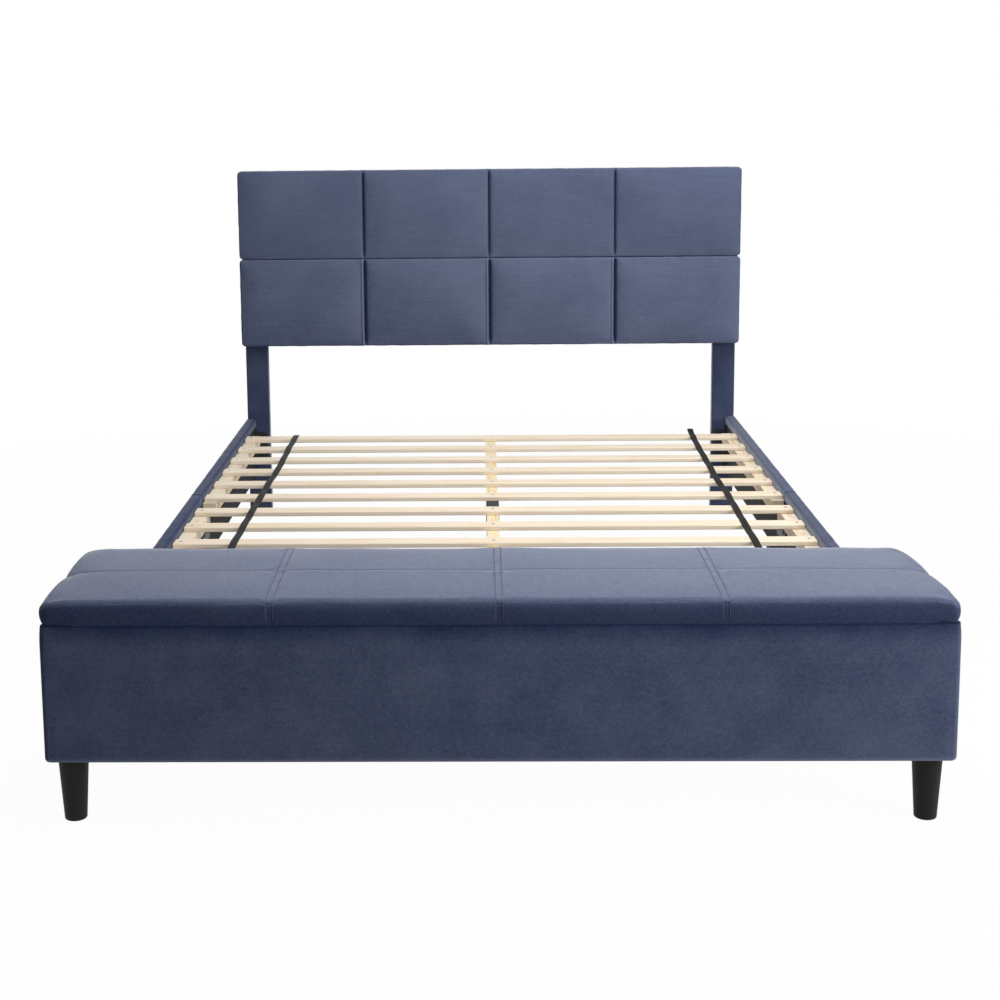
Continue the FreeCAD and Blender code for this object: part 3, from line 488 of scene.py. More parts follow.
# Rounds the block's outline and its front and back edges; the block is half wide, half tall and 0 to depth thick
def softEdges(grid, half, depth, corner, front, back):
    flat = grid[:, :2].copy()
    level = grid[:, 2].copy()
    sign = np.where(flat < 0, -1.0, 1.0)
    gap = np.array(half) - np.abs(flat)
    edge = gap.min(axis=1)
    outward = np.where(gap[:, :1] <= gap[:, 1:], (1.0, 0.0), (0.0, 1.0)) * sign
    reach = np.clip(corner - gap, 0, None)
    inCorner = (reach > 0).all(axis=1)
    length = np.where(inCorner, np.hypot(reach[:, 0], reach[:, 1]), 1.0)
    ring = reach.max(axis=1)
    turned = reach / length[:, None]
    flat[inCorner] = (sign * (np.array(half) - corner + turned * ring[:, None]))[inCorner]
    outward[inCorner] = (sign * turned)[inCorner]
    edge[inCorner] = (corner - ring)[inCorner]
    isFront = level > depth - 1e-7
    isBack = level < 1e-7
    normal = np.column_stack([outward, np.zeros(len(level))])
    normal[isFront] = (0, 0, 1)
    normal[isBack] = (0, 0, -1)
    newEdge = edge.copy()
    for radius, gone, way in ((front, depth - level, 1.0), (back, level.copy(), -1.0)):
        inside = np.clip(radius - edge, 0, None)
        fore = np.clip(radius - gone, 0, None)
        bent = (inside > 0) & (fore > 0)
        size = np.where(bent, np.hypot(inside, fore), 1.0)
        rim = np.maximum(inside, fore)
        newEdge[bent] = (radius - rim * inside / size)[bent]
        moved = (gone - (radius - rim * fore / size)) * way
        level[bent] += moved[bent]
        normal[bent] = np.column_stack([outward * (inside / size)[:, None], way * fore / size])[bent]
    flat += outward * (edge - newEdge)[:, None]
    return np.column_stack([flat, level]), normal, edge


def dressMesh(name, points, faces, finish, body):
    mesh = bpy.data.meshes.new(name)
    mesh.from_pydata([tuple(p) for p in points], [], faces)
    mesh.polygons.foreach_set("use_smooth", [True] * len(mesh.polygons))
    mesh.materials.append(finish)
    mesh.update()
    piece = bpy.data.objects.new(name, mesh)
    scene.collection.objects.link(piece)
    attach(piece, body)
    return piece


def movePoints(piece, points):
    piece.data.vertices.foreach_set("co", np.asarray(points, dtype=np.float32).ravel())
    piece.data.update()


def waves(points, scale, seed):
    return np.array([noise.noise(Vector(p) * scale + Vector((seed, seed * 0.7, 0))) for p in points])


# Blows the cover up from inside with its sewn points held, and gives each point's move
def fillOut(piece, held, filling):
    start = np.array([v.co for v in piece.data.vertices])
    sewn = piece.vertex_groups.new(name="sewn")
    sewn.add([int(k) for k in np.flatnonzero(held)], 1.0, "REPLACE")
    cloth = piece.modifiers.new("filling", "CLOTH")
    cloth.settings.vertex_group_mass = "sewn"
    cloth.settings.quality = 4
    cloth.settings.mass = 0.3
    cloth.settings.tension_stiffness = filling["stiff"]
    cloth.settings.compression_stiffness = filling["stiff"]
    cloth.settings.shear_stiffness = filling["stiff"] / 3
    cloth.settings.bending_stiffness = filling["bend"]
    cloth.settings.use_pressure = True
    cloth.settings.uniform_pressure_force = filling["pressure"]
    cloth.settings.effector_weights.gravity = 0
    cloth.collision_settings.use_collision = False
    cloth.collision_settings.use_self_collision = False
    for step in range(1, 21):
        scene.frame_set(step)
    swollen = piece.evaluated_get(bpy.context.evaluated_depsgraph_get()).to_mesh()
    moved = np.array([v.co for v in swollen.vertices]) - start
    piece.evaluated_get(bpy.context.evaluated_depsgraph_get()).to_mesh_clear()
    piece.modifiers.remove(cloth)
    piece.vertex_groups.remove(sewn)
    scene.frame_set(1)
    far = np.linalg.norm(moved, axis=1)
    print(piece.name, "filled out by up to", round(float(far.max()) * 1000, 1), "mm")
    return moved * np.minimum(1.0, filling["cap"] / np.maximum(far, 1e-9))[:, None]


# Headboard panels: four tiles each, with a deep crease between tiles
headboardLook = {"seams": paintedSeamShade["seams"], "base": 0.0535, "corner": 0.013, "front": 0.0062, "back": 0.003,
                 "crown": 0.004, "crease": 0.021, "creaseWide": 0.0025, "hollow": 0.0018, "hollowWide": 0.016,
                 "recess": 0.0186, "skirt": 0.0162,
                 "filling": {"pressure": 3.0, "stiff": 18.0, "bend": 0.6, "cap": 0.0055}}
rimRows = (0.0012, 0.0028, 0.0046, 0.007, 0.0095, 0.013, 0.0164, 0.021, 0.028)


def tileShape(place, seams, power):
    low = np.array(seams)[np.clip(np.searchsorted(seams, place, "right") - 1, 0, len(seams) - 2)]
    high = np.array(seams)[np.clip(np.searchsorted(seams, place, "right"), 1, len(seams) - 1)]
    share = np.clip(2 * (place - low) / (high - low) - 1, -1, 1)
    return 1 - np.abs(share) ** power


def makeHeadboardPanel(node, finish, lip, seed):
    look = headboardLook
    low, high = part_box(node)
    half = ((high.x - low.x) / 2, (high.z - low.z) / 2)
    middle = (low.z + high.z) / 2
    acrossSeams = (-half[0], *look["seams"], half[0])
    grid, faces = blockSkin((spacing(acrossSeams, rimRows, 0.014),
                             spacing((-half[1], half[1]), rimRows, 0.014),
                             spacing((0, look["base"]), (0.003, 0.006, 0.0095), 0.012)))
    points, normal, edge = softEdges(grid, half, look["base"], look["corner"], look["front"], look["back"])
    isFront = grid[:, 2] > look["base"] - 1e-7
    isBack = grid[:, 2] < 1e-7
    points[isBack & (edge > look["skirt"]), 2] = look["recess"]
    plump = tileShape(grid[:, 0], acrossSeams, 4) * tileShape(grid[:, 1], (-half[1], half[1]), 4)
    gap = np.min([np.abs(grid[:, 0] - seam) for seam in look["seams"]], axis=0)

    def world(local):
        return np.column_stack([local[:, 0], high.y - local[:, 2], middle + local[:, 1]])

    points[isFront, 2] += (plump * look["crown"])[isFront]
    piece = dressMesh(node.replace("_pad", "_cushion"), world(points), faces, finish, "bed_frame")
    held = ~isFront | (edge < 0.004) | (gap < 0.002)
    moved = fillOut(piece, held, look["filling"])
    points += np.column_stack([moved[:, 0], moved[:, 2], -moved[:, 1]])
    # creases after the filling: a narrow one, the hollow beside it and small gathers
    gathers = waves(grid * (1, 0.4, 1), 55.0, seed)
    pull = look["crease"] * np.exp(-gap / look["creaseWide"]) + look["hollow"] * np.exp(-gap / look["hollowWide"])
    pull += 0.0011 * gathers * np.exp(-gap / 0.014) * (gap > 0.001)
    side = grid[:, 0] - np.array(look["seams"])[np.argmin([np.abs(grid[:, 0] - s) for s in look["seams"]], axis=0)]
    pull -= lip * np.exp(-((side + 0.0056) / 0.0034) ** 2)
    inFront = np.clip(normal[:, 2], 0, 1)
    pull *= np.where(isBack, 0, 0.08 + 0.92 * inFront) * np.clip(0.25 + edge / 0.03, 0, 1)
    rimGathers = 0.0009 * waves(grid, 38.0, seed + 5) * np.exp(-edge / 0.02) * ~isBack
    loose = 0.0009 * waves(grid, 9.0, seed + 9) * isFront
    points += normal * (rimGathers + loose - pull)[:, None]
    movePoints(piece, world(points))
    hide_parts(node)
    return piece


makeHeadboardPanel("headboard_upper_pad", finishes["upperPanel"], 0.0004, 3.1)
makeHeadboardPanel("headboard_lower_pad", finishes["lowerPanel"], 0.0048, 7.7)
print("headboard panels made")


# Lid cushion: two rows of four tiles; the cross seams are topstitched on both sides
lidLook = {"seams": (-0.418, 0.0033, 0.417), "stitch": 0.0065, "base": 0.0415, "corner": 0.02, "front": 0.014,
           "back": 0.005, "crown": 0.0045, "endDrop": 0.009, "endReach": 0.052, "lean": 0.005, "slump": 0.007,
           "slumpReach": 0.04, "drawn": 0.0085, "tuck": 0.004, "droop": 0.0026, "lap": 0.0032,
           "recess": 0.0133, "skirt": 0.0142, "hem": 0.00008,
           "filling": {"pressure": 2.0, "stiff": 18.0, "bend": 0.6, "cap": 0.0007}}
seamRows = (0.0026, 0.0042, 0.0053, 0.0065, 0.0077, 0.0088, 0.0105, 0.0138, 0.0142, 0.0146, 0.019, 0.027, 0.036)
lidRows = (0.0012, 0.003, 0.0055, 0.009, 0.0138, 0.0146, 0.019, 0.026)


def makeLid(node):
    look = lidLook
    low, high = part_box(node)
    half = ((high.x - low.x) / 2, (high.y - low.y) / 2)
    middle = (low.y + high.y) / 2
    acrossSeams = (-half[0], *look["seams"], half[0])
    rowSeams = (-half[1], 0.0, half[1])
    grid, faces = blockSkin((spacing(acrossSeams, seamRows, 0.016), spacing(rowSeams, lidRows, 0.013),
                             spacing((0, look["base"]), (0.0025, 0.006, 0.012, 0.018), 0.01)))
    points, normal, edge = softEdges(grid, half, look["base"], look["corner"], look["front"], look["back"])
    isTop = grid[:, 2] > look["base"] - 1e-7
    isUnder = grid[:, 2] < 1e-7
    points[isUnder & (edge > look["skirt"]), 2] = look["recess"]
    points[:, 2] += look["hem"]
    plump = tileShape(grid[:, 0], acrossSeams, 10) * tileShape(grid[:, 1], rowSeams, 4)
    arch = (1 - np.abs(grid[:, 1] / half[1]) ** 3.2) * tileShape(grid[:, 0], (-half[0], half[0]), 14)
    endGap = half[0] - np.abs(grid[:, 0])
    raised = np.clip(points[:, 2] / look["base"], 0, 1) * ~isUnder
    dropped = look["endDrop"] * np.clip(1 - endGap / look["endReach"], 0, 1) ** 2
    points[:, 2] -= dropped * (1 - 0.85 * tileShape(grid[:, 1], rowSeams, 2)) * raised
    points[:, 2] -= look["lean"] * (1 + grid[:, 0] / half[0]) / 2 * (1 + grid[:, 1] / half[1]) / 2 * raised
    # the right end is drawn in a little and its back corner has sunk
    drawnShare = 0.6 + 0.4 * grid[:, 1] / half[1]
    points[:, 0] -= look["drawn"] * drawnShare * np.clip(1 - endGap / 0.08, 0, 1) * (grid[:, 0] > 0) * raised
    slumped = np.clip(1 - endGap / look["slumpReach"], 0, 1) ** 1.4 * (grid[:, 0] > 0)
    points[:, 2] -= look["slump"] * slumped * np.clip(grid[:, 1] / half[1], 0, 1) ** 0.7 * raised
    points[isTop, 2] += (arch * look["crown"])[isTop]
    tuck = look["tuck"] * np.clip(1 - grid[:, 2] / 0.022, 0, 1) ** 2 * (edge < 0.006)
    points -= np.column_stack([normal[:, :2], np.zeros(len(grid))]) * tuck[:, None]
    # the rim hangs to the box, but not over the hinges
    rim = np.clip(1 - grid[:, 2] / 0.02, 0, 1) * (edge < look["skirt"]) * np.clip((0.12 - grid[:, 1]) / 0.05, 0, 1)
    fromCorner = np.hypot(endGap, half[1] - np.abs(grid[:, 1]))
    lap = np.clip((fromCorner - 0.03) / 0.05, 0, 1) * (edge < 0.0045)
    points[:, 2] -= (look["droop"] + look["lap"] * lap) * rim

    def world(local):
        return local + (0, middle, low.z)

    piece = dressMesh("lid_cushion", world(points), faces, finishes["lid"], "bench_lid")
    crossGap = np.min([np.abs(grid[:, 0] - seam) for seam in look["seams"]], axis=0)
    held = isUnder | (grid[:, 2] < 0.004) | ((np.abs(grid[:, 1]) < 0.001) & isTop) | (crossGap < 0.0066)
    held |= (grid[:, 1] > half[1] - 1e-6)
    points += fillOut(piece, held, look["filling"])
    # sewn lines after the filling: the joint along the middle, deeper at the ends, and the stitched cross seams
    rowGap = np.abs(grid[:, 1])
    nearEnd = np.exp(-endGap / 0.028) * np.where(grid[:, 0] > 0, 0.5, 1.0)
    pull = (0.0002 + 0.006 * nearEnd) * np.exp(-rowGap / (0.0016 + 0.015 * nearEnd)) * (isTop | (endGap < 1e-6))
    lineGap = np.abs(crossGap - look["stitch"])
    pull += 0.0011 * (crossGap < 0.006) * ~isTop + 0.0005 * np.exp(-(lineGap / 0.0011) ** 2)
    pull += 0.0004 * np.exp(-np.clip(crossGap - 0.009, 0, 1) / 0.012)
    gathers = 0.0009 * waves(grid, 60.0, 2.2) * np.exp(-np.clip(crossGap - 0.006, 0, 1) / 0.012)
    rimGathers = 0.0007 * waves(grid, 34.0, 4.9) * np.exp(-edge / 0.03)
    rightFront = np.hypot(endGap, half[1] + grid[:, 1]) + np.where(grid[:, 0] < 0, 1, 0)
    rimGathers += 0.0026 * waves(grid * (1, 1, 0.5), 75.0, 6.6) * np.exp(-(rightFront / 0.03) ** 2)
    loose = 0.0013 * waves(grid, 7.5, 8.3) * isTop
    loose += 0.0007 * waves(grid * (1, 1, 2), 16.0, 1.3) * (~isTop & (grid[:, 1] < 0))
    points += normal * ((gathers + rimGathers + loose - pull) * ~isUnder * np.clip(grid[:, 2] / 0.01, 0, 1))[:, None]
    points[:, 1] = np.minimum(points[:, 1], half[1] + 0.0004)
    movePoints(piece, world(points))
    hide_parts(node)
    return piece, grid, world(points), normal


# Short round threads: one tube for each path, raised on the given normal
def threadTubes(paths, normals, radius, sides=6):
    points = []
    faces = []
    for path, normal in zip(paths, normals):
        base = len(points)
        way = np.gradient(path, axis=0)
        way /= np.linalg.norm(way, axis=1)[:, None]
        aside = np.cross(way, normal)
        aside /= np.linalg.norm(aside, axis=1)[:, None]
        lift = np.cross(aside, way)
        for spot, left, top in zip(path, aside, lift):
            for k in range(sides):
                angle = 2 * math.pi * k / sides
                points.append(spot + radius * (math.cos(angle) * left + math.sin(angle) * top))
        for i in range(len(path) - 1):
            for k in range(sides):
                after = (k + 1) % sides
                faces.append([base + i * sides + k, base + (i + 1) * sides + k,
                              base + (i + 1) * sides + after, base + i * sides + after])
        faces.append([base + k for k in range(sides)])
        faces.append([base + (len(path) - 1) * sides + k for k in range(sides)][::-1])
    return points, faces


stitchLook = {"pitch": 0.0062, "length": 0.0046, "radius": 0.00055, "rise": 0.0006}


def stitchAlong(spots, normals):
    steps = np.concatenate([[0], np.cumsum(np.linalg.norm(np.diff(spots, axis=0), axis=1))])
    paths = []
    ways = []
    for start in np.arange(0.004, steps[-1] - stitchLook["length"], stitchLook["pitch"]):
        at = start + stitchLook["length"] * np.array((0.0, 0.2, 0.8, 1.0))
        path = np.column_stack([np.interp(at, steps, spots[:, k]) for k in range(3)])
        way = np.column_stack([np.interp(at, steps, normals[:, k]) for k in range(3)])
        way /= np.linalg.norm(way, axis=1)[:, None]
        paths.append(path + way * (stitchLook["rise"] * np.array((-0.5, 1.0, 1.0, -0.5)))[:, None])
        ways.append(way)
    return paths, ways


def stitchLid(grid, points, normal):
    half = grid[:, 1].max()
    top = grid[:, 2].max()
    paths = []
    ways = []
    for seam in lidLook["seams"]:
        for line in (seam - lidLook["stitch"], seam + lidLook["stitch"]):
            onLine = (np.abs(grid[:, 0] - line) < 1e-5) & (grid[:, 2] > 0.003)
            order = grid[:, 1] + np.where(grid[:, 1] < 0, -1, 1) * (top - grid[:, 2])
            picked = np.flatnonzero(onLine)
            picked = picked[np.argsort(order[picked])]
            morePaths, moreWays = stitchAlong(points[picked], normal[picked])
            paths += morePaths
            ways += moreWays
    spots, faces = threadTubes(paths, ways, stitchLook["radius"])
    dressMesh("lid_stitching", spots, faces, finishes["thread"], "bench_lid")
    print("lid stitches:", len(paths))


lidPiece, lidGrid, lidPoints, lidNormal = makeLid("lid_pad")
stitchLid(lidGrid, lidPoints, lidNormal)


# Bench cover: one band of padded velvet round the box, lapped over the top and just under the bottom
coverLook = {"corner": 0.0125, "thick": 0.0057, "bottomRound": 0.0078, "under": 0.0014, "lip": 0.0238,
             "shoulder": ((0.0, 0.036), (0.0004, 0.028), (0.0012, 0.02), (0.0022, 0.0135), (0.003, 0.009),
                          (0.0038, 0.0056), (0.0044, 0.003), (0.0051, 0.0013), (0.0066, 0.0004), (0.01, 0.0))}


def coverSection(low, high):
    look = coverLook
    top = high - 0.0001
    section = [(look["lip"], top - 0.0011), (look["lip"] - 0.0012, top - 0.0002), (0.016, top)]
    section += [(inset, top - drop) for inset, drop in reversed(look["shoulder"])]
    floor = low - look["under"]
    for level in np.linspace(top - look["shoulder"][0][1] - 0.008, floor + look["bottomRound"] + 0.006, 22):
        section.append((0.0, float(level)))
    for angle in np.radians((0, 20, 40, 60, 75)):
        section.append((look["bottomRound"] * (1 - math.cos(angle)),
                        floor + look["bottomRound"] * (1 - math.sin(angle))))
    section.append((look["thick"], floor + 0.0006))
    section.append((look["thick"], low + 0.02))
    section.append((look["thick"], top - 0.0012))
    return section


def coverStations(half, corner):
    stations = []
    for turn in range(4):
        angle = turn * math.pi / 2
        ahead = np.array((math.cos(angle), math.sin(angle)))
        out = np.array((math.sin(angle), -math.cos(angle)))
        reach = half[turn % 2]
        away = half[(turn + 1) % 2]
        run = reach - corner
        for place in spacing((-run, run), (0.003, 0.007, 0.013, 0.022), 0.016):
            stations.append(("side", ahead, out, place, run, away))
        for share in np.linspace(0, 1, 8)[1:-1]:
            bend = angle + share * math.pi / 2
            stations.append(("corner", ahead, out, (math.sin(bend), -math.cos(bend)), run, away))
    return stations


def makeCover(node):
    look = coverLook
    low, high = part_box(node)
    half = ((high.x - low.x) / 2, (high.y - low.y) / 2)
    centre = np.array(((low.x + high.x) / 2, (low.y + high.y) / 2))
    section = coverSection(low.z, high.z)
    stations = coverStations(half, look["corner"])
    points = []
    normals = []
    loose = []
    for kind, ahead, out, place, run, away in stations:
        fromEnd = run - abs(place) if kind == "side" else 0.0
        full = min(1.0, 0.5 + fromEnd / 0.05)
        for inset, level in section:
            # the shoulder and the bottom roll are tighter at the corners, where the boards come close
            if inset < look["thick"] and level > low.z + 0.03:
                inset *= full
            beyond = max(0.0, inset - look["corner"])
            if kind == "side":
                spot = ahead * place * (run - beyond) / run + out * (away - inset)
                way = out
            else:
                way = np.array(place)
                hub = ahead * run + out * (away - look["corner"])
                spot = hub + way * max(0.0004, look["corner"] - inset) - (ahead + out) * beyond
            points.append((*(centre + spot), level))
            normals.append((*way, 0.0))
            loose.append(max(0.0, 1 - inset / 0.004) if inset < 0.004 else 0.0)
    points = np.array(points)
    normals = np.array(normals)
    loose = np.array(loose)
    share = (points[:, 2] - low.z) / (high.z - low.z)
    slack = 0.0011 * waves(points, 5.0, 1.9) + 0.0006 * waves(points * (1, 1, 0.35), 24.0, 6.1)
    slack += 0.0010 * waves(points * (1, 1, 0.12), 42.0, 3.4) * np.clip((share - 0.86) / 0.14, 0, 1)
    slack += 0.0007 * waves(points * (1, 1, 0.2), 30.0, 5.2) * np.clip((0.12 - share) / 0.12, 0, 1)
    fromCorner = np.abs(np.abs(points[:, 0] - centre[0]) - (half[0] - 0.013))
    frontSide = points[:, 1] < centre[1] - half[1] + 0.03
    slack -= 0.0034 * np.exp(-(fromCorner / 0.0032) ** 2) * frontSide * np.clip(1.1 - share, 0, 1)
    nearCorner = np.clip((half[0] - np.abs(points[:, 0] - centre[0])) / 0.05, 0, 1)
    nearCorner = np.maximum(nearCorner, np.clip((half[1] - np.abs(points[:, 1] - centre[1])) / 0.05, 0, 1) * (nearCorner < 0.4))
    points += normals * ((slack - 0.0006) * loose * nearCorner)[:, None]
    count = len(section)
    faces = []
    for i in range(len(stations)):
        after = (i + 1) % len(stations)
        for k in range(count):
            up = (k + 1) % count
            faces.append([i * count + k, i * count + up, after * count + up, after * count + k])
    piece = dressMesh("bench_wrap", points, faces, finishes["box"], "bed_frame")
    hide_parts(node)


makeCover("bench_cover")
print("bench cover made")


# Rails: velvet pulled round a board, with slack ripples on the inner face
railLook = {"round": np.array((0.0085, 0.003, 0.0085)), "slack": 0.0005}
railRows = (0.0007, 0.0017, 0.003, 0.0045, 0.0065, 0.0085, 0.0105)


def makeRail(node, seed):
    low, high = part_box(node)
    low = np.array(low)
    high = np.array(high)
    grid, faces = blockSkin((spacing((low[0], high[0]), railRows, 0.004), spacing((low[1], high[1]), railRows, 0.014),
                             spacing((low[2], high[2]), railRows, 0.012)))
    core = np.clip(grid, low + railLook["round"], high - railLook["round"])
    way = (grid - core) / railLook["round"]
    way /= np.linalg.norm(way, axis=1)[:, None]
    points = core + way * railLook["round"]
    ripple = waves(grid * (1, 1, 0.6), 26.0, seed) + 0.8 * waves(grid * (1, 1, 0.3), 60.0, seed + 3)
    points += way * (1, 0, 1) * (railLook["slack"] * (ripple - 1.0))[:, None]
    finish = finishes["leftRail" if "left" in node else "litRightRail"]
    piece = dressMesh(node + "_velvet", points, faces, finish, "bed_frame")
    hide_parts(node)


for railNumber, railNode in enumerate(sorted(name for name in nodes if name.startswith("side_rail_"))):
    makeRail(railNode, 2.0 + railNumber * 3.7)
print("rails dressed")


# Straps: webbing laid over the slats, a little slack between them
strapLook = {"thick": 0.0013, "sag": 0.0022, "stray": 0.0055, "askew": (-0.0035, 0.0085), "curl": 0.009, "tail": 0.03}


def makeStrap(node, seed, curled):
    low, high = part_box(node)
    centre = (low.x + high.x) / 2
    half = (high.x - low.x) / 2
    crossed = sorted(name for name in nodes if name.startswith("slat_") and name[5:].isdigit())
    slats = [(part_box(name)[0].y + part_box(name)[1].y) / 2 for name in crossed]
    stop = high.y + (strapLook["tail"] if curled else 0)
    rows = np.arange(low.y + 0.001, stop - 0.0005, 0.0055)
    fromSlat = np.min([np.abs(rows - slat) for slat in slats], axis=0)
    hang = np.clip((fromSlat - 0.0235) / 0.057, 0, 1)
    level = high.z - strapLook["sag"] * np.sin(hang * math.pi / 2) ** 1.2
    if curled:
        level = high.z + strapLook["curl"] * np.clip((rows - (high.y - 0.02)) / 0.05, 0, 1) ** 2 * (rows > slats[-1])
        level -= strapLook["sag"] * np.sin(hang * math.pi / 2) ** 1.2 * (rows < slats[-1])
    # the strap runs straight from slat to slat and bends a little at each
    bends = np.array([strapLook["stray"] * noise.noise(Vector((seed, slat * 4.1, 0))) for slat in slats])
    strays = np.interp(rows, slats, bends + np.linspace(*strapLook["askew"], len(slats)))
    points = []
    for row, top, stray in zip(rows, level, strays):
        lean = 0.00025 * noise.noise(Vector((seed + 4, row * 9.0, 0)))
        for share, under in ((-1, 0.2), (-0.86, 0), (-0.4, 0), (0.4, 0), (0.86, 0), (1, 0.2),
                             (1, 0.8), (0.86, 1), (-0.86, 1), (-1, 0.8)):
            points.append((centre + stray + half * share, row,
                           top + lean * share - strapLook["thick"] * under + 0.0002))
    ring = 10
    faces = []
    for i in range(len(rows) - 1):
        for k in range(ring):
            after = (k + 1) % ring
            faces.append([i * ring + k, i * ring + after, (i + 1) * ring + after, (i + 1) * ring + k])
    faces.append(list(range(ring)))
    faces.append([(len(rows) - 1) * ring + k for k in range(ring)][::-1])
    piece = dressMesh(node + "_webbing", points, faces, finishes["webbing"], "bed_frame")
    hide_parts(node)


makeStrap("slat_strap_left", 1.7, False)
makeStrap("slat_strap_right", 5.3, True)
print("straps laid")


# Linings: thin black sheets stapled over the boards
liningLook = {"thick": 0.0007, "billow": 0.0016, "stapleEvery": 0.075, "stapleWide": 0.011, "inset": 0.007}


def stapleRow(spots, along, out):
    half = liningLook["stapleWide"] / 2
    legs = np.array(((-half, -0.003), (-half, 0.0002), (-half + 0.0006, 0.0006), (half - 0.0006, 0.0006),
                     (half, 0.0002), (half, -0.003)))
    paths = [spot + legs[:, :1] * along + legs[:, 1:] * out for spot in spots]
    side = np.cross(along, out)
    return paths, [np.tile(side, (len(legs), 1)) for _ in paths]


def makeLining(name, low, high, face, out, body, clear):
    # face is the axis that the sheet faces, out is 1 or -1 along it
    axes = [k for k in range(3) if k != face]
    rows = [None, None, None]
    for axis in axes:
        rows[axis] = spacing((low[axis], high[axis]), (0.004, 0.012), 0.02)
    rows[face] = [0.0, liningLook["thick"]]
    points, faces = blockSkin(rows)
    gap = np.min([np.minimum(points[:, k] - low[k], high[k] - points[:, k]) for k in axes], axis=0)
    slack = liningLook["billow"] * (0.6 + 0.5 * waves(points, 7.0, 3.3)) * np.clip((gap - 0.012) / 0.06, 0, 1)
    slack *= clear(points)
    base = low[face] if out > 0 else high[face]
    points[:, face] = base + out * (points[:, face] + slack + 0.0001)
    if out < 0:
        faces = [ring[::-1] for ring in faces]
    piece = dressMesh(name, points, faces, finishes["lining"], body)
    spots = {axis: [] for axis in axes}
    for axis, other in (axes, axes[::-1]):
        count = int((high[axis] - low[axis]) / liningLook["stapleEvery"])
        for place in np.linspace(low[axis] + 0.03, high[axis] - 0.03, count):
            for rim in (low[other] + liningLook["inset"], high[other] - liningLook["inset"]):
                spot = np.zeros(3)
                spot[axis] = place
                spot[other] = rim
                spot[face] = base + out * (liningLook["thick"] + 0.0002)
                if clear(spot[None])[0] > 0.5:
                    spots[axis].append(spot)
    paths = []
    ways = []
    for axis in axes:
        morePaths, moreWays = stapleRow(spots[axis], np.eye(3)[axis], np.eye(3)[face] * out)
        paths += morePaths
        ways += moreWays
    stapleSpots, stapleFaces = threadTubes(paths, ways, 0.00045)
    dressMesh(name + "_staples", stapleSpots, stapleFaces, finishes["zinc"], body)
    return piece


def behindPosts(points):
    return (np.abs(np.abs(points[:, 0]) - 0.759) > 0.045).astype(float)


def overHinges(points):
    atHinge = np.min([np.abs(points[:, 0] - x) for x in (-0.56, 0, 0.56)], axis=0) < 0.05
    return np.where(atHinge & (points[:, 1] > -0.925), 0.0, 1.0)


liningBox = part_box("headboard_linings")
for panelName in ("headboard_upper", "headboard_lower"):
    boardLow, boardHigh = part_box(panelName + "_board")
    sheetLow = (liningBox[0].x, liningBox[0].y, boardLow.z - 0.001)
    sheetHigh = (liningBox[1].x, liningBox[1].y, boardHigh.z + 0.001)
    panelLining = makeLining(panelName + "_lining", sheetLow, sheetHigh, 1, 1, "bed_frame", behindPosts)
    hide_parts("headboard_linings")
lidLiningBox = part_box("lid_lining")
lidSheet = makeLining("lid_lining_sheet", tuple(lidLiningBox[0]), tuple(lidLiningBox[1]), 2, -1, "bench_lid", overHinges)
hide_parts("lid_lining")
print("linings stapled")


# Finishes of the rigid pieces that keep their own shape
plainPieces = (
    ("slat_screws", "screw"), ("slat_ledger", "ledgerPine"), ("slat_", "slatPine"), ("centre_beam_splice", "steel"),
    ("centre_beam", "beamPine"), ("centre_legs", "plastic"), ("beam_hanger", "steel"), ("rail_brackets", "steel"),
    ("rail_plates", "steel"), ("rail_legs", "stain"), ("rail_bolts", "steel"), ("headboard_bolts", "zinc"),
    ("headboard_post", "post"), ("headboard_", "board"), ("bench_leg_bolts", "zinc"), ("bench_leg", "stain"),
    ("bench_", "board"), ("lid_board", "board"), ("hinge_", "zinc"),
)
for nodeName, nodePiece in nodes.items():
    chosen = next((finish for start, finish in plainPieces if nodeName.startswith(start)), None)
    if chosen and not nodePiece.hide_render:
        nodePiece.data.materials.clear()
        nodePiece.data.materials.append(finishes[chosen])
print("rigid pieces finished")


# Studio: a big soft light overhead, one from the front right, a low one behind, and a white surround
studio = {"overhead": {"place": (0.75, -0.3, 2.9), "aim": (0.4, -0.2, 0.4), "size": (2.8, 1.9), "power": 88},
          "front": {"place": (3.3, -2.9, 1.7), "aim": (0.4, -0.9, 0.4), "size": (1.6, 1.6), "power": 98},
          "behind": {"place": (-0.9, 3.9, 0.75), "aim": (0.0, 1.27, 0.65), "size": (2.2, 0.8), "power": 30},
          "surround": 0.035, "floorWhite": 0.975, "whiteFrom": 2.1, "whiteAll": 3.6}


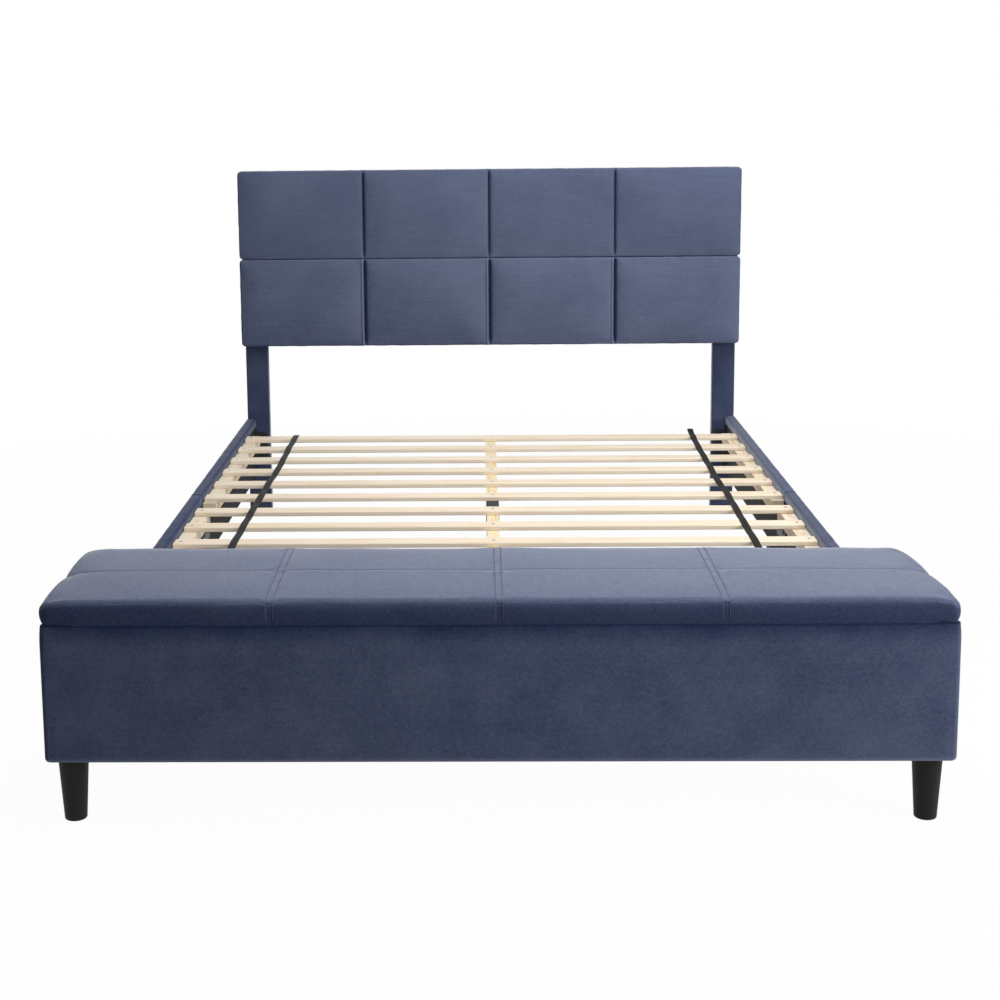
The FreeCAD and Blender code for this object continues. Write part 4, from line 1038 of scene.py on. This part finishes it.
def addLamp(name, look):
    light = bpy.data.lights.new(name, "AREA")
    light.shape = "RECTANGLE"
    light.size = look["size"][0]
    light.size_y = look["size"][1]
    light.energy = look["power"]
    lamp = bpy.data.objects.new(name, light)
    lamp.location = look["place"]
    lamp.rotation_euler = (Vector(look["aim"]) - Vector(look["place"])).to_track_quat("-Z", "Y").to_euler()
    scene.collection.objects.link(lamp)


def seenDirectly(wire):
    seen = [wire.node("LightPath", {}, {}, name) for name in ("Is Camera Ray", "Is Glossy Ray", "Is Transmission Ray")]
    total = seen[0] + seen[1] + seen[2]
    return total.math("MINIMUM", total, 1.0)


def addSurround():
    world = bpy.data.worlds.new("whiteSurround")
    world.use_nodes = True
    world.node_tree.nodes.clear()
    scene.world = world
    wire = Wire(world.node_tree)
    strength = seenDirectly(wire) * (1.0 - studio["surround"]) + studio["surround"]
    sky = wire.node("Background", {}, {"Color": (1, 1, 1, 1), "Strength": strength})
    wire.node("OutputWorld", {}, {"Surface": sky})


def addFloor():
    mesh = bpy.data.meshes.new("studioFloor")
    mesh.from_pydata([(-30, -30, -0.0012), (30, -30, -0.0012), (30, 30, -0.0012), (-30, 30, -0.0012)], [], [(0, 1, 2, 3)])
    floor = bpy.data.objects.new("studioFloor", mesh)
    scene.collection.objects.link(floor)
    finish, wire = newFinish("studioFloor")
    matt = wire.node("BsdfDiffuse", {}, {"Color": (0.7, 0.7, 0.7, 1)})
    white = wire.node("Emission", {}, {"Color": (1, 1, 1, 1), "Strength": 1.0})
    place = wire.node("TexCoord", {}, {}, "Object")
    away = place.node("VectorMath", {"operation": "LENGTH"}, {0: place}, "Value")
    whiter = away.ramp(studio["whiteFrom"], studio["whiteAll"]) * (1 - studio["floorWhite"]) + studio["floorWhite"]
    finishWith(wire, wire.node("MixShader", {}, {0: seenDirectly(wire) * whiter, 1: matt, 2: white}))
    mesh.materials.append(finish)


addLamp("overheadLight", studio["overhead"])
addLamp("frontLight", studio["front"])
addLamp("behindLight", studio["behind"])
addSurround()
addFloor()
print("studio lit")
